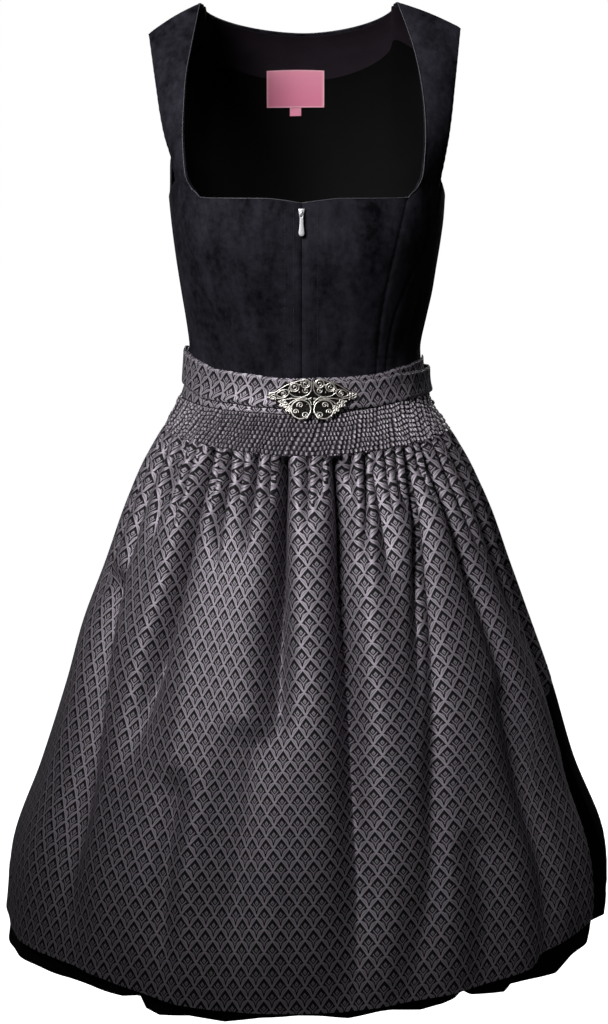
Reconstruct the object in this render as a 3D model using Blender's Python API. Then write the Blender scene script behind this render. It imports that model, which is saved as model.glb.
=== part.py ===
"""A dirndl with its smocked apron, filled out as worn: velvet bodice, gathered skirt, apron and clasp.

Units are metres. +Z is up, the front faces -Y, and the wearer's left is +X. The origin lies between the two
shoulder straps, at the height where they rest on the shoulders. An angle on the garment is 0 at the front
centre, 90 degrees at the wearer's left side and 180 at the back. Every wall is a grid of points: rows run
from its top edge down, columns run with growing angle, and the cloth's outside faces away from the wearer.
"""

from collections import namedtuple

import bmesh
import bpy
import numpy as np

# Driving dimensions
WAIST_SEAM_FRONT = -0.3840
WAIST_SEAM_BACK = -0.3740
SKIRT_HEM = -0.9900
SEAM_GAP = 0.0004
LAYER_GAP = 0.0006
YOKE_GAP = 0.0011
SKIRT_UNDER_APRON = 0.0030
BODICE_WALL = 0.0020
SKIRT_WALL = 0.0014
APRON_WALL = 0.0015
LINING_WALL = 0.0010
LINING_GAP = 0.0012

# The garment's outline: one row for each level, from the chest to the hem
Section = namedtuple("Section", "z right left front back power")
SECTIONS = (
    Section(-0.140, 0.1450, 0.1480, 0.1120, 0.1160, 2.4),
    Section(-0.186, 0.1400, 0.1460, 0.1225, 0.1150, 2.4),
    Section(-0.215, 0.1372, 0.1440, 0.1238, 0.1120, 2.4),
    Section(-0.250, 0.1328, 0.1388, 0.1215, 0.1060, 2.4),
    Section(-0.295, 0.1262, 0.1317, 0.1110, 0.0980, 2.35),
    Section(-0.340, 0.1200, 0.1220, 0.1005, 0.0915, 2.3),
    Section(-0.362, 0.1205, 0.1225, 0.0965, 0.0895, 2.25),
    Section(-0.384, 0.1230, 0.1245, 0.0965, 0.0925, 2.2),
    Section(-0.400, 0.1295, 0.1310, 0.1000, 0.0985, 2.2),
    Section(-0.421, 0.1400, 0.1450, 0.1100, 0.1110, 2.2),
    Section(-0.442, 0.1530, 0.1605, 0.1215, 0.1235, 2.2),
    Section(-0.463, 0.1650, 0.1735, 0.1330, 0.1350, 2.15),
    Section(-0.505, 0.1835, 0.1940, 0.1520, 0.1550, 2.15),
    Section(-0.569, 0.2065, 0.2180, 0.1745, 0.1780, 2.1),
    Section(-0.633, 0.2310, 0.2415, 0.1960, 0.1990, 2.1),
    Section(-0.697, 0.2485, 0.2650, 0.2160, 0.2180, 2.1),
    Section(-0.783, 0.2750, 0.2905, 0.2400, 0.2410, 2.1),
    Section(-0.870, 0.3060, 0.3245, 0.2610, 0.2610, 2.1),
    Section(-0.930, 0.3120, 0.3270, 0.2720, 0.2710, 2.1),
    Section(-0.985, 0.3190, 0.3130, 0.2740, 0.2710, 2.1),
)
BODICE_LEVELS = (-0.186, -0.204, -0.232, -0.268, -0.305, -0.338, -0.354, -0.369)
BUST_FULLNESS = 0.0060
BUST_ANGLE = 33.0
BUST_Z = -0.232
BUST_REACH = (22.0, 0.045)

# Bodice seams: distance from the centre at each height
SeamPoint = namedtuple("SeamPoint", "z x")
PRINCESS_SEAM = (
    SeamPoint(-0.186, 0.1040),
    SeamPoint(-0.226, 0.0920),
    SeamPoint(-0.251, 0.0870),
    SeamPoint(-0.293, 0.0800),
    SeamPoint(-0.340, 0.0755),
    SeamPoint(-0.390, 0.0725),
)
BACK_SEAM = (
    SeamPoint(-0.148, 0.1400),
    SeamPoint(-0.190, 0.1180),
    SeamPoint(-0.250, 0.0840),
    SeamPoint(-0.310, 0.0620),
    SeamPoint(-0.390, 0.0520),
)
ZIP_X = -0.0025
NECK_Z = -0.1865
NECK_NOTCH = (0.0045, 5.0)

# The two sides of the bodice differ a little as worn: the edges of each strap from the shoulder down to the
# neck corner and the armhole, and the seam below the armhole
EdgePoint = namedtuple("EdgePoint", "z x y")
Side = namedtuple("Side", "sign strap_inner strap_outer strap_seam back_outer")
LEFT = Side(
    1,
    (
        EdgePoint(0.0110, 0.0960, 0.0000),
        EdgePoint(-0.0320, 0.1110, -0.0270),
        EdgePoint(-0.0770, 0.1200, -0.0500),
        EdgePoint(-0.1120, 0.1229, -0.0660),
        EdgePoint(-0.1500, 0.1215, -0.0790),
        EdgePoint(-0.1690, 0.1180, -0.0860),
        EdgePoint(-0.1770, 0.1130, -0.0910),
    ),
    (
        EdgePoint(-0.0150, 0.1612, 0.0000),
        EdgePoint(-0.0430, 0.1580, -0.0170),
        EdgePoint(-0.0770, 0.1542, -0.0330),
        EdgePoint(-0.1214, 0.1494, -0.0440),
        EdgePoint(-0.1500, 0.1445, -0.0460),
        EdgePoint(-0.1700, 0.1405, -0.0460),
    ),
    (
        SeamPoint(-0.170, 0.1405),
        SeamPoint(-0.204, 0.1335),
        SeamPoint(-0.248, 0.1140),
        SeamPoint(-0.293, 0.0960),
        SeamPoint(-0.340, 0.0860),
        SeamPoint(-0.390, 0.0830),
    ),
    (
        EdgePoint(-0.0150, 0.1612, 0.0000),
        EdgePoint(-0.0500, 0.1575, 0.0260),
        EdgePoint(-0.0900, 0.1530, 0.0400),
        EdgePoint(-0.1200, 0.1495, 0.0420),
        EdgePoint(-0.1480, 0.1440, 0.0400),
    ),
)
RIGHT = Side(
    -1,
    (
        EdgePoint(0.0100, 0.1070, 0.0000),
        EdgePoint(-0.0320, 0.1149, -0.0270),
        EdgePoint(-0.0660, 0.1205, -0.0450),
        EdgePoint(-0.1000, 0.1222, -0.0620),
        EdgePoint(-0.1500, 0.1215, -0.0790),
        EdgePoint(-0.1690, 0.1180, -0.0860),
        EdgePoint(-0.1770, 0.1130, -0.0910),
    ),
    (
        EdgePoint(-0.0210, 0.1600, 0.0000),
        EdgePoint(-0.0500, 0.1556, -0.0170),
        EdgePoint(-0.0890, 0.1498, -0.0330),
        EdgePoint(-0.1214, 0.1443, -0.0450),
        EdgePoint(-0.1425, 0.1378, -0.0510),
        EdgePoint(-0.1700, 0.1320, -0.0580),
    ),
    (
        SeamPoint(-0.170, 0.1320),
        SeamPoint(-0.204, 0.1300),
        SeamPoint(-0.248, 0.1140),
        SeamPoint(-0.293, 0.0950),
        SeamPoint(-0.340, 0.0850),
        SeamPoint(-0.390, 0.0820),
    ),
    (
        EdgePoint(-0.0210, 0.1600, 0.0000),
        EdgePoint(-0.0500, 0.1560, 0.0240),
        EdgePoint(-0.0900, 0.1510, 0.0400),
        EdgePoint(-0.1200, 0.1465, 0.0420),
        EdgePoint(-0.1480, 0.1400, 0.0400),
    ),
)
STRAP_ROWS_INNER = (-0.012, -0.036, -0.064, -0.094, -0.124, -0.150, -0.166)
STRAP_ROWS_OUTER = (-0.036, -0.056, -0.078, -0.102, -0.126, -0.146, -0.160)
STRAP_CROWN = 0.0030
SHOULDER_SEAM_GAP = 0.0003
BACK_NECK = (0.0800, -0.0190)
BACK_NECK_SHARE = 0.62
BACK_NECK_SQUARE = 1.15
BACK_BEND = 0.34

# Armhole under the arm: height at each angle, from the strap seam to the back seam
ArmPoint = namedtuple("ArmPoint", "angle z")
ARMHOLE = (
    ArmPoint(62.0, -0.166),
    ArmPoint(68.0, -0.172),
    ArmPoint(78.0, -0.182),
    ArmPoint(90.0, -0.188),
    ArmPoint(98.0, -0.178),
    ArmPoint(106.0, -0.148),
)
UNDERARM_Z = -0.188

# Zip down the front
ZIP_HALF_WIDTH = 0.0115
ZIP_TAPE_WALL = 0.0008
SLIDER_SIZE = (0.0066, 0.0020, 0.0090)
SLIDER_Z = -0.2010
BAIL_WIDTH = 0.0012
BAIL_BAND = 0.0010
BAIL_OPENING = (0.0022, 0.0042)
PULL_LENGTH = 0.0235
PULL_HALF_WIDTH = 0.0029
PULL_SIDE = 0.0008
PULL_THICK = 0.0012
PULL_EYE_HALF_WIDTH = 0.0012
PULL_BAR = 0.0006
PULL_EYE_END = 0.0040

# Neck label and size tab inside the back
LABEL_CENTRE_X = -0.0090
LABEL_TOP = -0.0580
LABEL_SIZE = (0.0610, 0.0385)
TAB_SIZE = (0.0120, 0.0095)
LABEL_WALL = 0.0010

# Apron: edges of its width at the waist and at the hem, and its levels
APRON_LEFT = (-96.0, -94.0)
APRON_RIGHT_TOP = 88.0
EdgeAngle = namedtuple("EdgeAngle", "down angle")
APRON_RIGHT_EDGE = (
    EdgeAngle(0.00, 88.0),
    EdgeAngle(0.30, 88.0),
    EdgeAngle(0.42, 87.0),
    EdgeAngle(0.50, 84.5),
    EdgeAngle(0.56, 80.5),
    EdgeAngle(0.62, 75.5),
    EdgeAngle(0.68, 72.0),
    EdgeAngle(0.76, 68.5),
    EdgeAngle(0.84, 65.5),
    EdgeAngle(0.92, 64.0),
    EdgeAngle(1.00, 63.0),
)
SKIRT_SEAMS = ((-102.0, -100.0), (94.0, 77.0))
YOKE_BOTTOM = (-0.4445, -0.4270)
Level = namedtuple("Level", "angle z")
YOKE_TOP = (
    Level(-180.0, -0.3900),
    Level(-96.0, -0.3925),
    Level(-66.0, -0.3960),
    Level(-42.0, -0.4007),
    Level(-16.5, -0.4037),
    Level(-4.0, -0.4045),
    Level(12.0, -0.4035),
    Level(26.0, -0.3997),
    Level(49.5, -0.3925),
    Level(88.0, -0.3870),
    Level(180.0, -0.3900),
)
APRON_HEM = (
    Level(-96.0, -0.9240),
    Level(-86.0, -0.9320),
    Level(-75.0, -0.9430),
    Level(-66.0, -0.9480),
    Level(-46.0, -0.9525),
    Level(-39.0, -0.9575),
    Level(-30.0, -0.9660),
    Level(-22.0, -0.9740),
    Level(-14.0, -0.9775),
    Level(6.0, -0.9780),
    Level(16.0, -0.9720),
    Level(24.0, -0.9665),
    Level(39.0, -0.9575),
    Level(44.0, -0.9525),
    Level(46.5, -0.9400),
    Level(57.0, -0.9295),
    Level(63.0, -0.9215),
    Level(72.0, -0.9150),
)
SKIRT_HEM_LEVELS = (
    Level(-180.0, -0.9640),
    Level(-120.0, -0.9680),
    Level(-92.0, -0.9600),
    Level(-80.0, -0.9680),
    Level(-49.0, -0.9690),
    Level(-43.0, -0.9710),
    Level(-34.0, -0.9745),
    Level(-30.5, -0.9720),
    Level(-29.0, -0.9835),
    Level(-26.0, -0.9885),
    Level(-20.0, -0.9860),
    Level(-13.5, -0.9900),
    Level(-7.0, -0.9840),
    Level(-1.0, -0.9825),
    Level(7.5, -0.9865),
    Level(15.5, -0.9800),
    Level(21.0, -0.9815),
    Level(28.0, -0.9740),
    Level(29.5, -0.9670),
    Level(31.5, -0.9725),
    Level(39.5, -0.9750),
    Level(40.8, -0.9680),
    Level(54.0, -0.9690),
    Level(59.0, -0.9560),
    Level(70.0, -0.9470),
    Level(86.0, -0.9370),
    Level(115.0, -0.9500),
    Level(180.0, -0.9640),
)
BAND_TOP = (
    Level(-96.0, -0.3448),
    Level(-80.0, -0.3472),
    Level(-69.5, -0.3500),
    Level(-53.5, -0.3570),
    Level(-44.8, -0.3608),
    Level(-32.0, -0.3634),
    Level(-17.0, -0.3672),
    Level(0.0, -0.3682),
    Level(13.8, -0.3674),
    Level(28.0, -0.3661),
    Level(51.5, -0.3590),
    Level(70.0, -0.3548),
    Level(88.0, -0.3515),
)
YOKE_TUCKS = 84
YOKE_RISE = 0.0014
YOKE_ROWS = 4
YOKE_INSIDE_STEP = 6

# Belt over the waistband, closed by the clasp
BELT_WALL = 0.0018
BeltLevel = namedtuple("BeltLevel", "angle top height")
BELT = (
    BeltLevel(0.0, -0.3698, 0.0290),
    BeltLevel(11.0, -0.3704, 0.0285),
    BeltLevel(28.0, -0.3701, 0.0282),
    BeltLevel(45.0, -0.3660, 0.0275),
    BeltLevel(62.0, -0.3644, 0.0265),
    BeltLevel(84.0, -0.3639, 0.0255),
    BeltLevel(105.0, -0.3622, 0.0265),
    BeltLevel(140.0, -0.3590, 0.0290),
    BeltLevel(180.0, -0.3560, 0.0305),
    BeltLevel(225.0, -0.3500, 0.0325),
    BeltLevel(264.0, -0.3440, 0.0345),
    BeltLevel(280.0, -0.3455, 0.0355),
    BeltLevel(290.5, -0.3485, 0.0350),
    BeltLevel(306.5, -0.3557, 0.0340),
    BeltLevel(315.2, -0.3596, 0.0330),
    BeltLevel(328.0, -0.3622, 0.0320),
    BeltLevel(343.0, -0.3663, 0.0305),
    BeltLevel(356.0, -0.3693, 0.0292),
    BeltLevel(360.0, -0.3698, 0.0290),
)
BELT_OVER_BAND = 0.0030
BELT_LOOSE_RISE = 0.0032
BELT_LOOSE_ANGLE = 92.0
BELT_LOOSE_REACH = 9.0
CLASP_X = 0.0080
CLASP_Z = -0.3885
CLASP_WALL = 0.0016
CLASP_GAP = 0.0012
CLASP_HALVES_GAP = 0.0002
BELT_END_GAP = 0.0030

# One half of the clasp, measured from the middle of the whole clasp: round lobes and the holes in them
Lobe = namedtuple("Lobe", "x z radius hole")
CLASP_LOBES = (
    Lobe(0.0050, 0.0158, 0.0050, 0.0028),
    Lobe(0.0142, 0.0134, 0.0054, 0.0026),
    Lobe(0.0222, 0.0106, 0.0058, 0.0026),
    Lobe(0.0298, 0.0066, 0.0050, 0.0024),
    Lobe(0.0372, 0.0030, 0.0045, 0.0016),
    Lobe(0.0304, -0.0022, 0.0046, 0.0015),
    Lobe(0.0240, -0.0076, 0.0048, 0.0018),
    Lobe(0.0176, -0.0122, 0.0050, 0.0020),
    Lobe(0.0070, -0.0146, 0.0062, 0.0036),
    Lobe(0.0058, 0.0054, 0.0060, 0.0024),
    Lobe(0.0058, -0.0042, 0.0060, 0.0018),
    Lobe(0.0140, 0.0026, 0.0070, 0.0024),
    Lobe(0.0218, 0.0012, 0.0070, 0.0026),
)
CLASP_MIDDLE = (0.0130, 0.0010)
OUTLINE_STEPS = 56
HOLE_STEPS = 7

# Folds of apron and skirt: where each valley runs, how wide and deep it is, and the heights it spans
Fold = namedtuple("Fold", "angle_top angle_hem width_top width_hem depth z_from z_to")
FRONT_FOLDS = (
    Fold(-78.0, -74.0, 3.5, 5.0, 0.0070, -0.425, -0.600),
    Fold(-64.0, -60.0, 3.0, 5.0, 0.0060, -0.430, -0.620),
    Fold(-75.0, -45.0, 5.0, 7.0, 0.0240, -0.560, -0.990),
    Fold(-52.0, -50.0, 2.5, 4.0, 0.0080, -0.430, -0.520),
    Fold(-36.5, -41.0, 3.0, 6.5, 0.0180, -0.435, -0.790),
    Fold(-33.0, -24.0, 3.5, 4.0, 0.0100, -0.740, -0.990),
    Fold(-27.0, -25.0, 2.3, 3.0, 0.0070, -0.438, -0.540),
    Fold(-17.5, -17.0, 2.2, 3.0, 0.0065, -0.438, -0.530),
    Fold(-6.0, -5.5, 2.6, 6.0, 0.0190, -0.438, -0.770),
    Fold(-8.0, -13.5, 5.0, 6.5, 0.0110, -0.690, -0.990),
    Fold(3.5, 3.0, 2.0, 2.5, 0.0050, -0.438, -0.510),
    Fold(12.6, 7.8, 3.0, 4.5, 0.0210, -0.438, -1.050),
    Fold(23.0, 21.0, 2.4, 4.0, 0.0110, -0.438, -0.590),
    Fold(31.5, 31.0, 2.2, 3.0, 0.0060, -0.438, -0.520),
    Fold(40.0, 16.5, 3.0, 4.0, 0.0120, -0.435, -1.050),
    Fold(34.0, 33.0, 5.0, 6.0, 0.0090, -0.800, -1.000),
    Fold(48.0, 60.0, 3.2, 6.0, 0.0110, -0.435, -0.860),
    Fold(54.0, 46.0, 4.0, 5.0, 0.0120, -0.660, -1.000),
    Fold(66.0, 70.0, 4.0, 5.0, 0.0070, -0.430, -0.720),
    Fold(79.5, 66.0, 4.5, 4.5, 0.0070, -0.450, -0.990),
)
BACK_FOLDS = 15
BACK_FOLDS_SPAN = (71.0, 266.0)
BACK_FOLD_DEPTH = (0.013, 0.021)
BACK_FOLD_WIDTH = (2.6, 4.2)
FOLD_TOP_Z = -0.4100
FOLD_FADE = 0.035

# How finely the walls are stepped
BACK_UPPER_ROWS = (0.0, 0.10, 0.22, 0.38, 0.56, 0.78, 1.0)
UNDERARM_ROWS = 7
LINING_ROWS = (0, 1, 2, 3, 4, 5, 6, 7, 9, 11, 13, 15)
LINING_COLUMNS = (1, 3, 4, 5, 6, 7, 9, 11, 13, 15, 17, 19, 20, 21, 22, 23, 25)
APRON_COLUMNS = 73
APRON_ROWS = 10
SKIRT_COLUMNS = 37
WAIST_SHARES = (0.0, 0.5, 1.0, 1.35, 1.7)
SKIRT_ROWS = (0.0, 0.06, 0.17, 0.34, 0.56, 0.79, 1.0)
BAND_COLUMNS = 41
BELT_COLUMNS = 85
BACK_COLUMNS = 31


def smooth(knots, values, at):
    """A smooth curve through (knots, values), with knots in rising order, held flat past its ends."""
    knots = np.asarray(knots, float)
    values = np.asarray(values, float)
    slopes = np.gradient(values, knots)
    at = np.clip(np.asarray(at, float), knots[0], knots[-1])
    left = np.clip(np.searchsorted(knots, at) - 1, 0, len(knots) - 2)
    width = knots[left + 1] - knots[left]
    s = (at - knots[left]) / width
    start = values[left] * (2 * s**3 - 3 * s**2 + 1) + slopes[left] * width * (s**3 - 2 * s**2 + s)
    end = values[left + 1] * (3 * s**2 - 2 * s**3) + slopes[left + 1] * width * (s**3 - s**2)
    return start + end


def ease(value, start, end):
    """0 before start, 1 after end and an even curve between them; start may be the larger."""
    s = np.clip((value - start) / (end - start), 0.0, 1.0)
    return s * s * (3.0 - 2.0 * s)


def column_of(table, column, z):
    """A column of a table whose rows fall in z, at any height."""
    rows = table[::-1]
    return smooth([row.z for row in rows], [getattr(row, column) for row in rows], z)


def turned(angle):
    """The angle brought between -180 and 180 degrees."""
    return (np.asarray(angle, float) + 180.0) % 360.0 - 180.0


def signed_power(value, power):
    return np.sign(value) * np.abs(value) ** power


def envelope(angle, z, offset=0.0):
    """The garment's outline at an angle and a height, moved out by offset: an array of points."""
    angle, z, offset = np.broadcast_arrays(angle, z, offset)
    phi = np.radians(angle)
    power = 2.0 / column_of(SECTIONS, "power", z)
    half_width = np.where(np.sin(phi) > 0, column_of(SECTIONS, "left", z), column_of(SECTIONS, "right", z))
    width = half_width + offset
    front = column_of(SECTIONS, "front", z) + offset
    back = column_of(SECTIONS, "back", z) + offset
    depth = np.where(np.cos(phi) > 0, front, back)
    bust = np.exp(
        -(((np.abs(turned(angle)) - BUST_ANGLE) / BUST_REACH[0]) ** 2)
        - (((z - BUST_Z) / BUST_REACH[1]) ** 2)
    )
    x = width * signed_power(np.sin(phi), power) + BUST_FULLNESS * bust * np.sin(phi)
    y = -depth * signed_power(np.cos(phi), power) - BUST_FULLNESS * bust * np.cos(phi)
    return np.stack([x, y, z], axis=-1)


def front_angle(x, z):
    """The angle on the front at which the outline has this x."""
    width = np.where(np.asarray(x) > 0, column_of(SECTIONS, "left", z), column_of(SECTIONS, "right", z))
    share = np.clip(np.abs(x) / width, 0.0, 1.0)
    exponent = column_of(SECTIONS, "power", z) / 2.0
    return np.sign(x) * np.degrees(np.arcsin(share**exponent))


def waist_seam(angle):
    """Height of the seam between bodice and skirt."""
    forward = (1.0 + np.cos(np.radians(angle))) / 2.0
    return WAIST_SEAM_BACK + (WAIST_SEAM_FRONT - WAIST_SEAM_BACK) * forward


def dipped(levels, angle):
    """A height that is levels[0] at the front centre and levels[1] at the sides."""
    side = np.abs(np.sin(np.radians(np.clip(turned(angle), -90.0, 90.0)))) ** 1.6
    return levels[0] + (levels[1] - levels[0]) * side


def level_at(table, angle):
    return smooth([row.angle for row in table], [row.z for row in table], turned(angle))


def hem_at(table, angle):
    """Height of a hem, which runs straight between the points of its table."""
    return np.interp(turned(angle), [row.angle for row in table], [row.z for row in table])


def fold_inset(angle, z, folds):
    """How far the folds draw the cloth in from the outline."""
    angle, z = np.broadcast_arrays(np.asarray(angle, float), np.asarray(z, float))
    down = np.clip((z - YOKE_BOTTOM[0]) / (SKIRT_HEM - YOKE_BOTTOM[0]), 0.0, 1.0)
    inset = np.zeros(angle.shape)
    for fold in folds:
        centre = fold.angle_top + (fold.angle_hem - fold.angle_top) * down
        width = fold.width_top + (fold.width_hem - fold.width_top) * down
        fade_out = min(0.45 * (fold.z_from - fold.z_to), 0.20)
        present = ease(z, fold.z_from, fold.z_from - FOLD_FADE) * ease(z, fold.z_to, fold.z_to + fade_out)
        away = np.abs(turned(angle - centre)) / width
        inset = np.maximum(inset, 0.35 * inset + fold.depth * present * np.exp(-(away**1.7)))
    return inset * ease(z, FOLD_TOP_Z, FOLD_TOP_Z - FOLD_FADE)


def back_folds():
    """Even gathers round the hidden sides and the back, uneven in depth and width."""
    first, last = BACK_FOLDS_SPAN
    step = (last - first) / BACK_FOLDS
    folds = []
    for i in range(BACK_FOLDS):
        wave = 0.5 + 0.5 * np.sin(2.4 * i + 0.7)
        centre = first + step * (i + 0.5 + 0.16 * np.sin(3.9 * i))
        depth = BACK_FOLD_DEPTH[0] + (BACK_FOLD_DEPTH[1] - BACK_FOLD_DEPTH[0]) * wave
        width = BACK_FOLD_WIDTH[0] + (BACK_FOLD_WIDTH[1] - BACK_FOLD_WIDTH[0]) * (1.0 - wave)
        folds.append(Fold(centre, centre + 2.0 * np.sin(5.1 * i), width, width + 2.0, depth, -0.415, -1.100))
    return tuple(folds)


def folded(angle, z, folds):
    """Points on the folded cloth."""
    point = envelope(angle, z)
    phi = np.radians(np.broadcast_to(angle, point.shape[:-1]))
    inward = np.stack([-np.sin(phi), np.cos(phi), np.zeros_like(phi)], axis=-1)
    return point + inward * fold_inset(angle, z, folds)[..., None]


def outward(grid):
    """Unit normals of a grid of points, on the outside of the cloth."""
    normals = np.cross(np.gradient(grid, axis=0), np.gradient(grid, axis=1))
    return normals / np.linalg.norm(normals, axis=-1, keepdims=True)


def material(name, color, roughness, metallic=0.0):
    made = bpy.data.materials.new(name)
    made.use_nodes = True
    shader = made.node_tree.nodes["Principled BSDF"]
    shader.inputs["Base Color"].default_value = (*color, 1.0)
    shader.inputs["Roughness"].default_value = roughness
    shader.inputs["Metallic"].default_value = metallic
    return made


def add_object(name, mesh, finish):
    mesh.materials.append(finish)
    made = bpy.data.objects.new(name, mesh)
    bpy.context.scene.collection.objects.link(made)
    return made


def rim(outer_edge, inner_edge, faces):
    """Faces from an edge of the outer grid to the inner one, which may have fewer, even steps."""
    ratio = (len(outer_edge) - 1) // (len(inner_edge) - 1)
    for step in range(len(inner_edge) - 1):
        along = outer_edge[step * ratio : (step + 1) * ratio + 1]
        faces.append([*along, inner_edge[step + 1], inner_edge[step]])


def wall_between(name, outer, inner, finish):
    """A closed wall between an outer grid and an inner grid of points.

    Every cell is split along the same diagonal, so that layers of cloth that follow each other stay apart.
    """
    points = np.concatenate([outer.reshape(-1, 3), inner.reshape(-1, 3)])
    out_index = np.arange(outer.shape[0] * outer.shape[1]).reshape(outer.shape[:2])
    in_index = len(out_index.ravel()) + np.arange(inner.shape[0] * inner.shape[1]).reshape(inner.shape[:2])
    faces = []
    for index, order in ((out_index, 1), (in_index, -1)):
        for row in range(index.shape[0] - 1):
            for col in range(index.shape[1] - 1):
                here, below = index[row, col], index[row + 1, col]
                beside, across = index[row, col + 1], index[row + 1, col + 1]
                faces.append([here, below, across][::order])
                faces.append([here, across, beside][::order])
    rim(out_index[0], in_index[0], faces)
    rim(out_index[-1][::-1], in_index[-1][::-1], faces)
    rim(out_index[:, 0][::-1], in_index[:, 0][::-1], faces)
    rim(out_index[:, -1], in_index[:, -1], faces)
    mesh = bpy.data.meshes.new(name)
    mesh.from_pydata(points.tolist(), [], [[int(i) for i in face] for face in faces])
    mesh.update()
    return add_object(name, mesh, finish)


def spread(start, end, steps):
    """Columns from start to end, each an array over the rows: shape rows by steps."""
    share = np.linspace(0.0, 1.0, steps)[None, :]
    return start[:, None] + (end - start)[:, None] * share


def trimmed(start, end, radius):
    """A panel's two edge angles, each drawn in by half the seam gap."""
    cut = np.degrees(0.5 * SEAM_GAP / radius)
    return start + cut, end - cut


def outline_normals(angle, z):
    """Unit normals of the outline itself, so that panels that meet at a seam turn their walls alike."""
    step_angle, step_z = 0.4, 0.0008
    along = envelope(angle + step_angle, z) - envelope(angle - step_angle, z)
    down = envelope(angle, z - step_z) - envelope(angle, z + step_z)
    normals = np.cross(down, along)
    return normals / np.linalg.norm(normals, axis=-1, keepdims=True)


def seam_heights(top_z, levels, seam_z):
    """Heights down one seam: a top, even steps to the first close level, the close levels and the waist."""
    even = np.linspace(top_z, levels[0], UNDERARM_ROWS)
    return np.array([*even, *levels[1:], seam_z])


def panel_between(side, heights, seams, top_edge, columns):
    """A bodice panel between two seams, on one side of the garment.

    heights holds the row heights down its inner and outer seams. seams holds the two functions that give each
    seam's angle from the front centre at a height. top_edge is the height of the top edge across the panel.
    """
    u = np.linspace(0.0, 1.0, columns)
    z = heights[0][:, None] * (1 - u) + heights[1][:, None] * u
    waist_angle = seams[0](z[-1:, 0], side)[0] * (1 - u) + seams[1](z[-1:, -1], side)[0] * u
    z[-1] = waist_seam(waist_angle) + 0.5 * SEAM_GAP
    fade = np.linspace(1.0, 0.0, len(z) - 4)
    z[: len(fade)] += (top_edge - z[0]) * fade[:, None]
    inner, outer = seams[0](z[:, 0], side), seams[1](z[:, -1], side)
    start, end = trimmed(inner, outer, column_of(SECTIONS, "right", z[:, 0]))
    angle = side.sign * (start[:, None] * (1 - u) + end[:, None] * u)
    return facing_out(side, envelope(angle, z), outline_normals(angle, z))


def facing_out(side, grid, normals):
    """Puts the columns in the order of growing angle on either side."""
    return (grid, normals) if side.sign > 0 else (grid[:, ::-1], normals[:, ::-1])


def angle_on(side, x, z):
    """Angle from the front centre, on one side, at a distance x from the centre line."""
    return side.sign * front_angle(side.sign * x, z)


def princess_angle(z, side):
    return angle_on(side, column_of(PRINCESS_SEAM, "x", z), z)


def strap_seam_angle(z, side):
    return angle_on(side, column_of(side.strap_seam, "x", z), z)


def back_seam_angle(z, side):
    return 180.0 - angle_on(side, column_of(BACK_SEAM, "x", z), z)


def zip_angle(z, side):
    return side.sign * front_angle(ZIP_X, z)


def side_seam_angle(z, side):
    return np.full_like(z, 90.0)


def armhole_edge(first, last, columns):
    angles = np.linspace(first, last, columns)
    return smooth([p.angle for p in ARMHOLE], [p.z for p in ARMHOLE], angles)


def front_centre_grid(side):
    """Centre front, from the zip to the princess seam."""
    columns = 9
    heights = np.array([*BODICE_LEVELS, waist_seam(20.0)])
    angles = np.linspace(0.0, 40.0, columns)
    edge = NECK_Z - NECK_NOTCH[0] * np.exp(-((angles / NECK_NOTCH[1]) ** 2))
    edge[-1] = BODICE_LEVELS[0]
    return panel_between(side, (heights, heights), (zip_angle, princess_angle), edge, columns)


def front_strap_grid(side):
    """Side front with its strap, from the shoulder seam to the waist."""
    columns = 6
    u = np.linspace(0.0, 1.0, columns)
    inner_z = np.array([side.strap_inner[0].z, *STRAP_ROWS_INNER])
    outer_z = np.array([side.strap_outer[0].z, *STRAP_ROWS_OUTER])
    upper = edge_line(side.strap_inner, inner_z, side)[:, None] * (1 - u)[None, :, None]
    upper = upper + edge_line(side.strap_outer, outer_z, side)[:, None] * u[None, :, None]
    upper[0, :, 1] -= SHOULDER_SEAM_GAP
    waist_z = waist_seam(38.0) + 0.5 * SEAM_GAP
    inner_z = np.array([side.strap_inner[-1].z, *BODICE_LEVELS, waist_z])
    outer_z = np.array([side.strap_seam[0].z, *BODICE_LEVELS, waist_z])
    inner, outer = princess_angle(inner_z, side), strap_seam_angle(outer_z, side)
    inner[0] = angle_on(side, side.strap_inner[-1].x, inner_z[0])
    start, end = trimmed(inner, outer, 0.125)
    angle = side.sign * (start[:, None] + (end - start)[:, None] * u)
    z = inner_z[:, None] + (outer_z - inner_z)[:, None] * u
    lower = envelope(angle, z)
    if side.sign < 0:
        upper, lower, angle, z = upper[:, ::-1], lower[:, ::-1], angle[:, ::-1], z[:, ::-1]
    crown = np.sin(np.pi * u)[None, :, None] * STRAP_CROWN
    fade = np.linspace(1.0, 0.3, len(upper))[:, None, None]
    upper = upper + outward(upper) * crown * fade
    normals = outward(np.concatenate([upper, lower[:2]]))[: len(upper)]
    normals = np.concatenate([squared_to_shoulder(normals), outline_normals(angle, z)])
    return np.concatenate([upper, lower]), normals


def edge_line(table, z, side):
    """Points along an edge given by a table, at these heights, on one side of the garment."""
    return np.stack([side.sign * column_of(table, "x", z), column_of(table, "y", z), z], axis=-1)


def squared_to_shoulder(normals):
    """Turns the first row's normals into the plane of the shoulder seam."""
    normals[0, :, 1] = 0.0
    normals[0] /= np.linalg.norm(normals[0], axis=-1, keepdims=True)
    return normals


def side_grid(side):
    """Side panel, from the strap seam to the side seam."""
    columns = 6
    inner = np.array([side.strap_seam[0].z, *BODICE_LEVELS, waist_seam(60.0)])
    outer = seam_heights(UNDERARM_Z, BODICE_LEVELS[-3:], waist_seam(90.0))
    edge = armhole_edge(ARMHOLE[1].angle, 90.0, columns)
    edge[0] = inner[0]
    edge[-1] = outer[0]
    return panel_between(side, (inner, outer), (strap_seam_angle, side_seam_angle), edge, columns)


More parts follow.
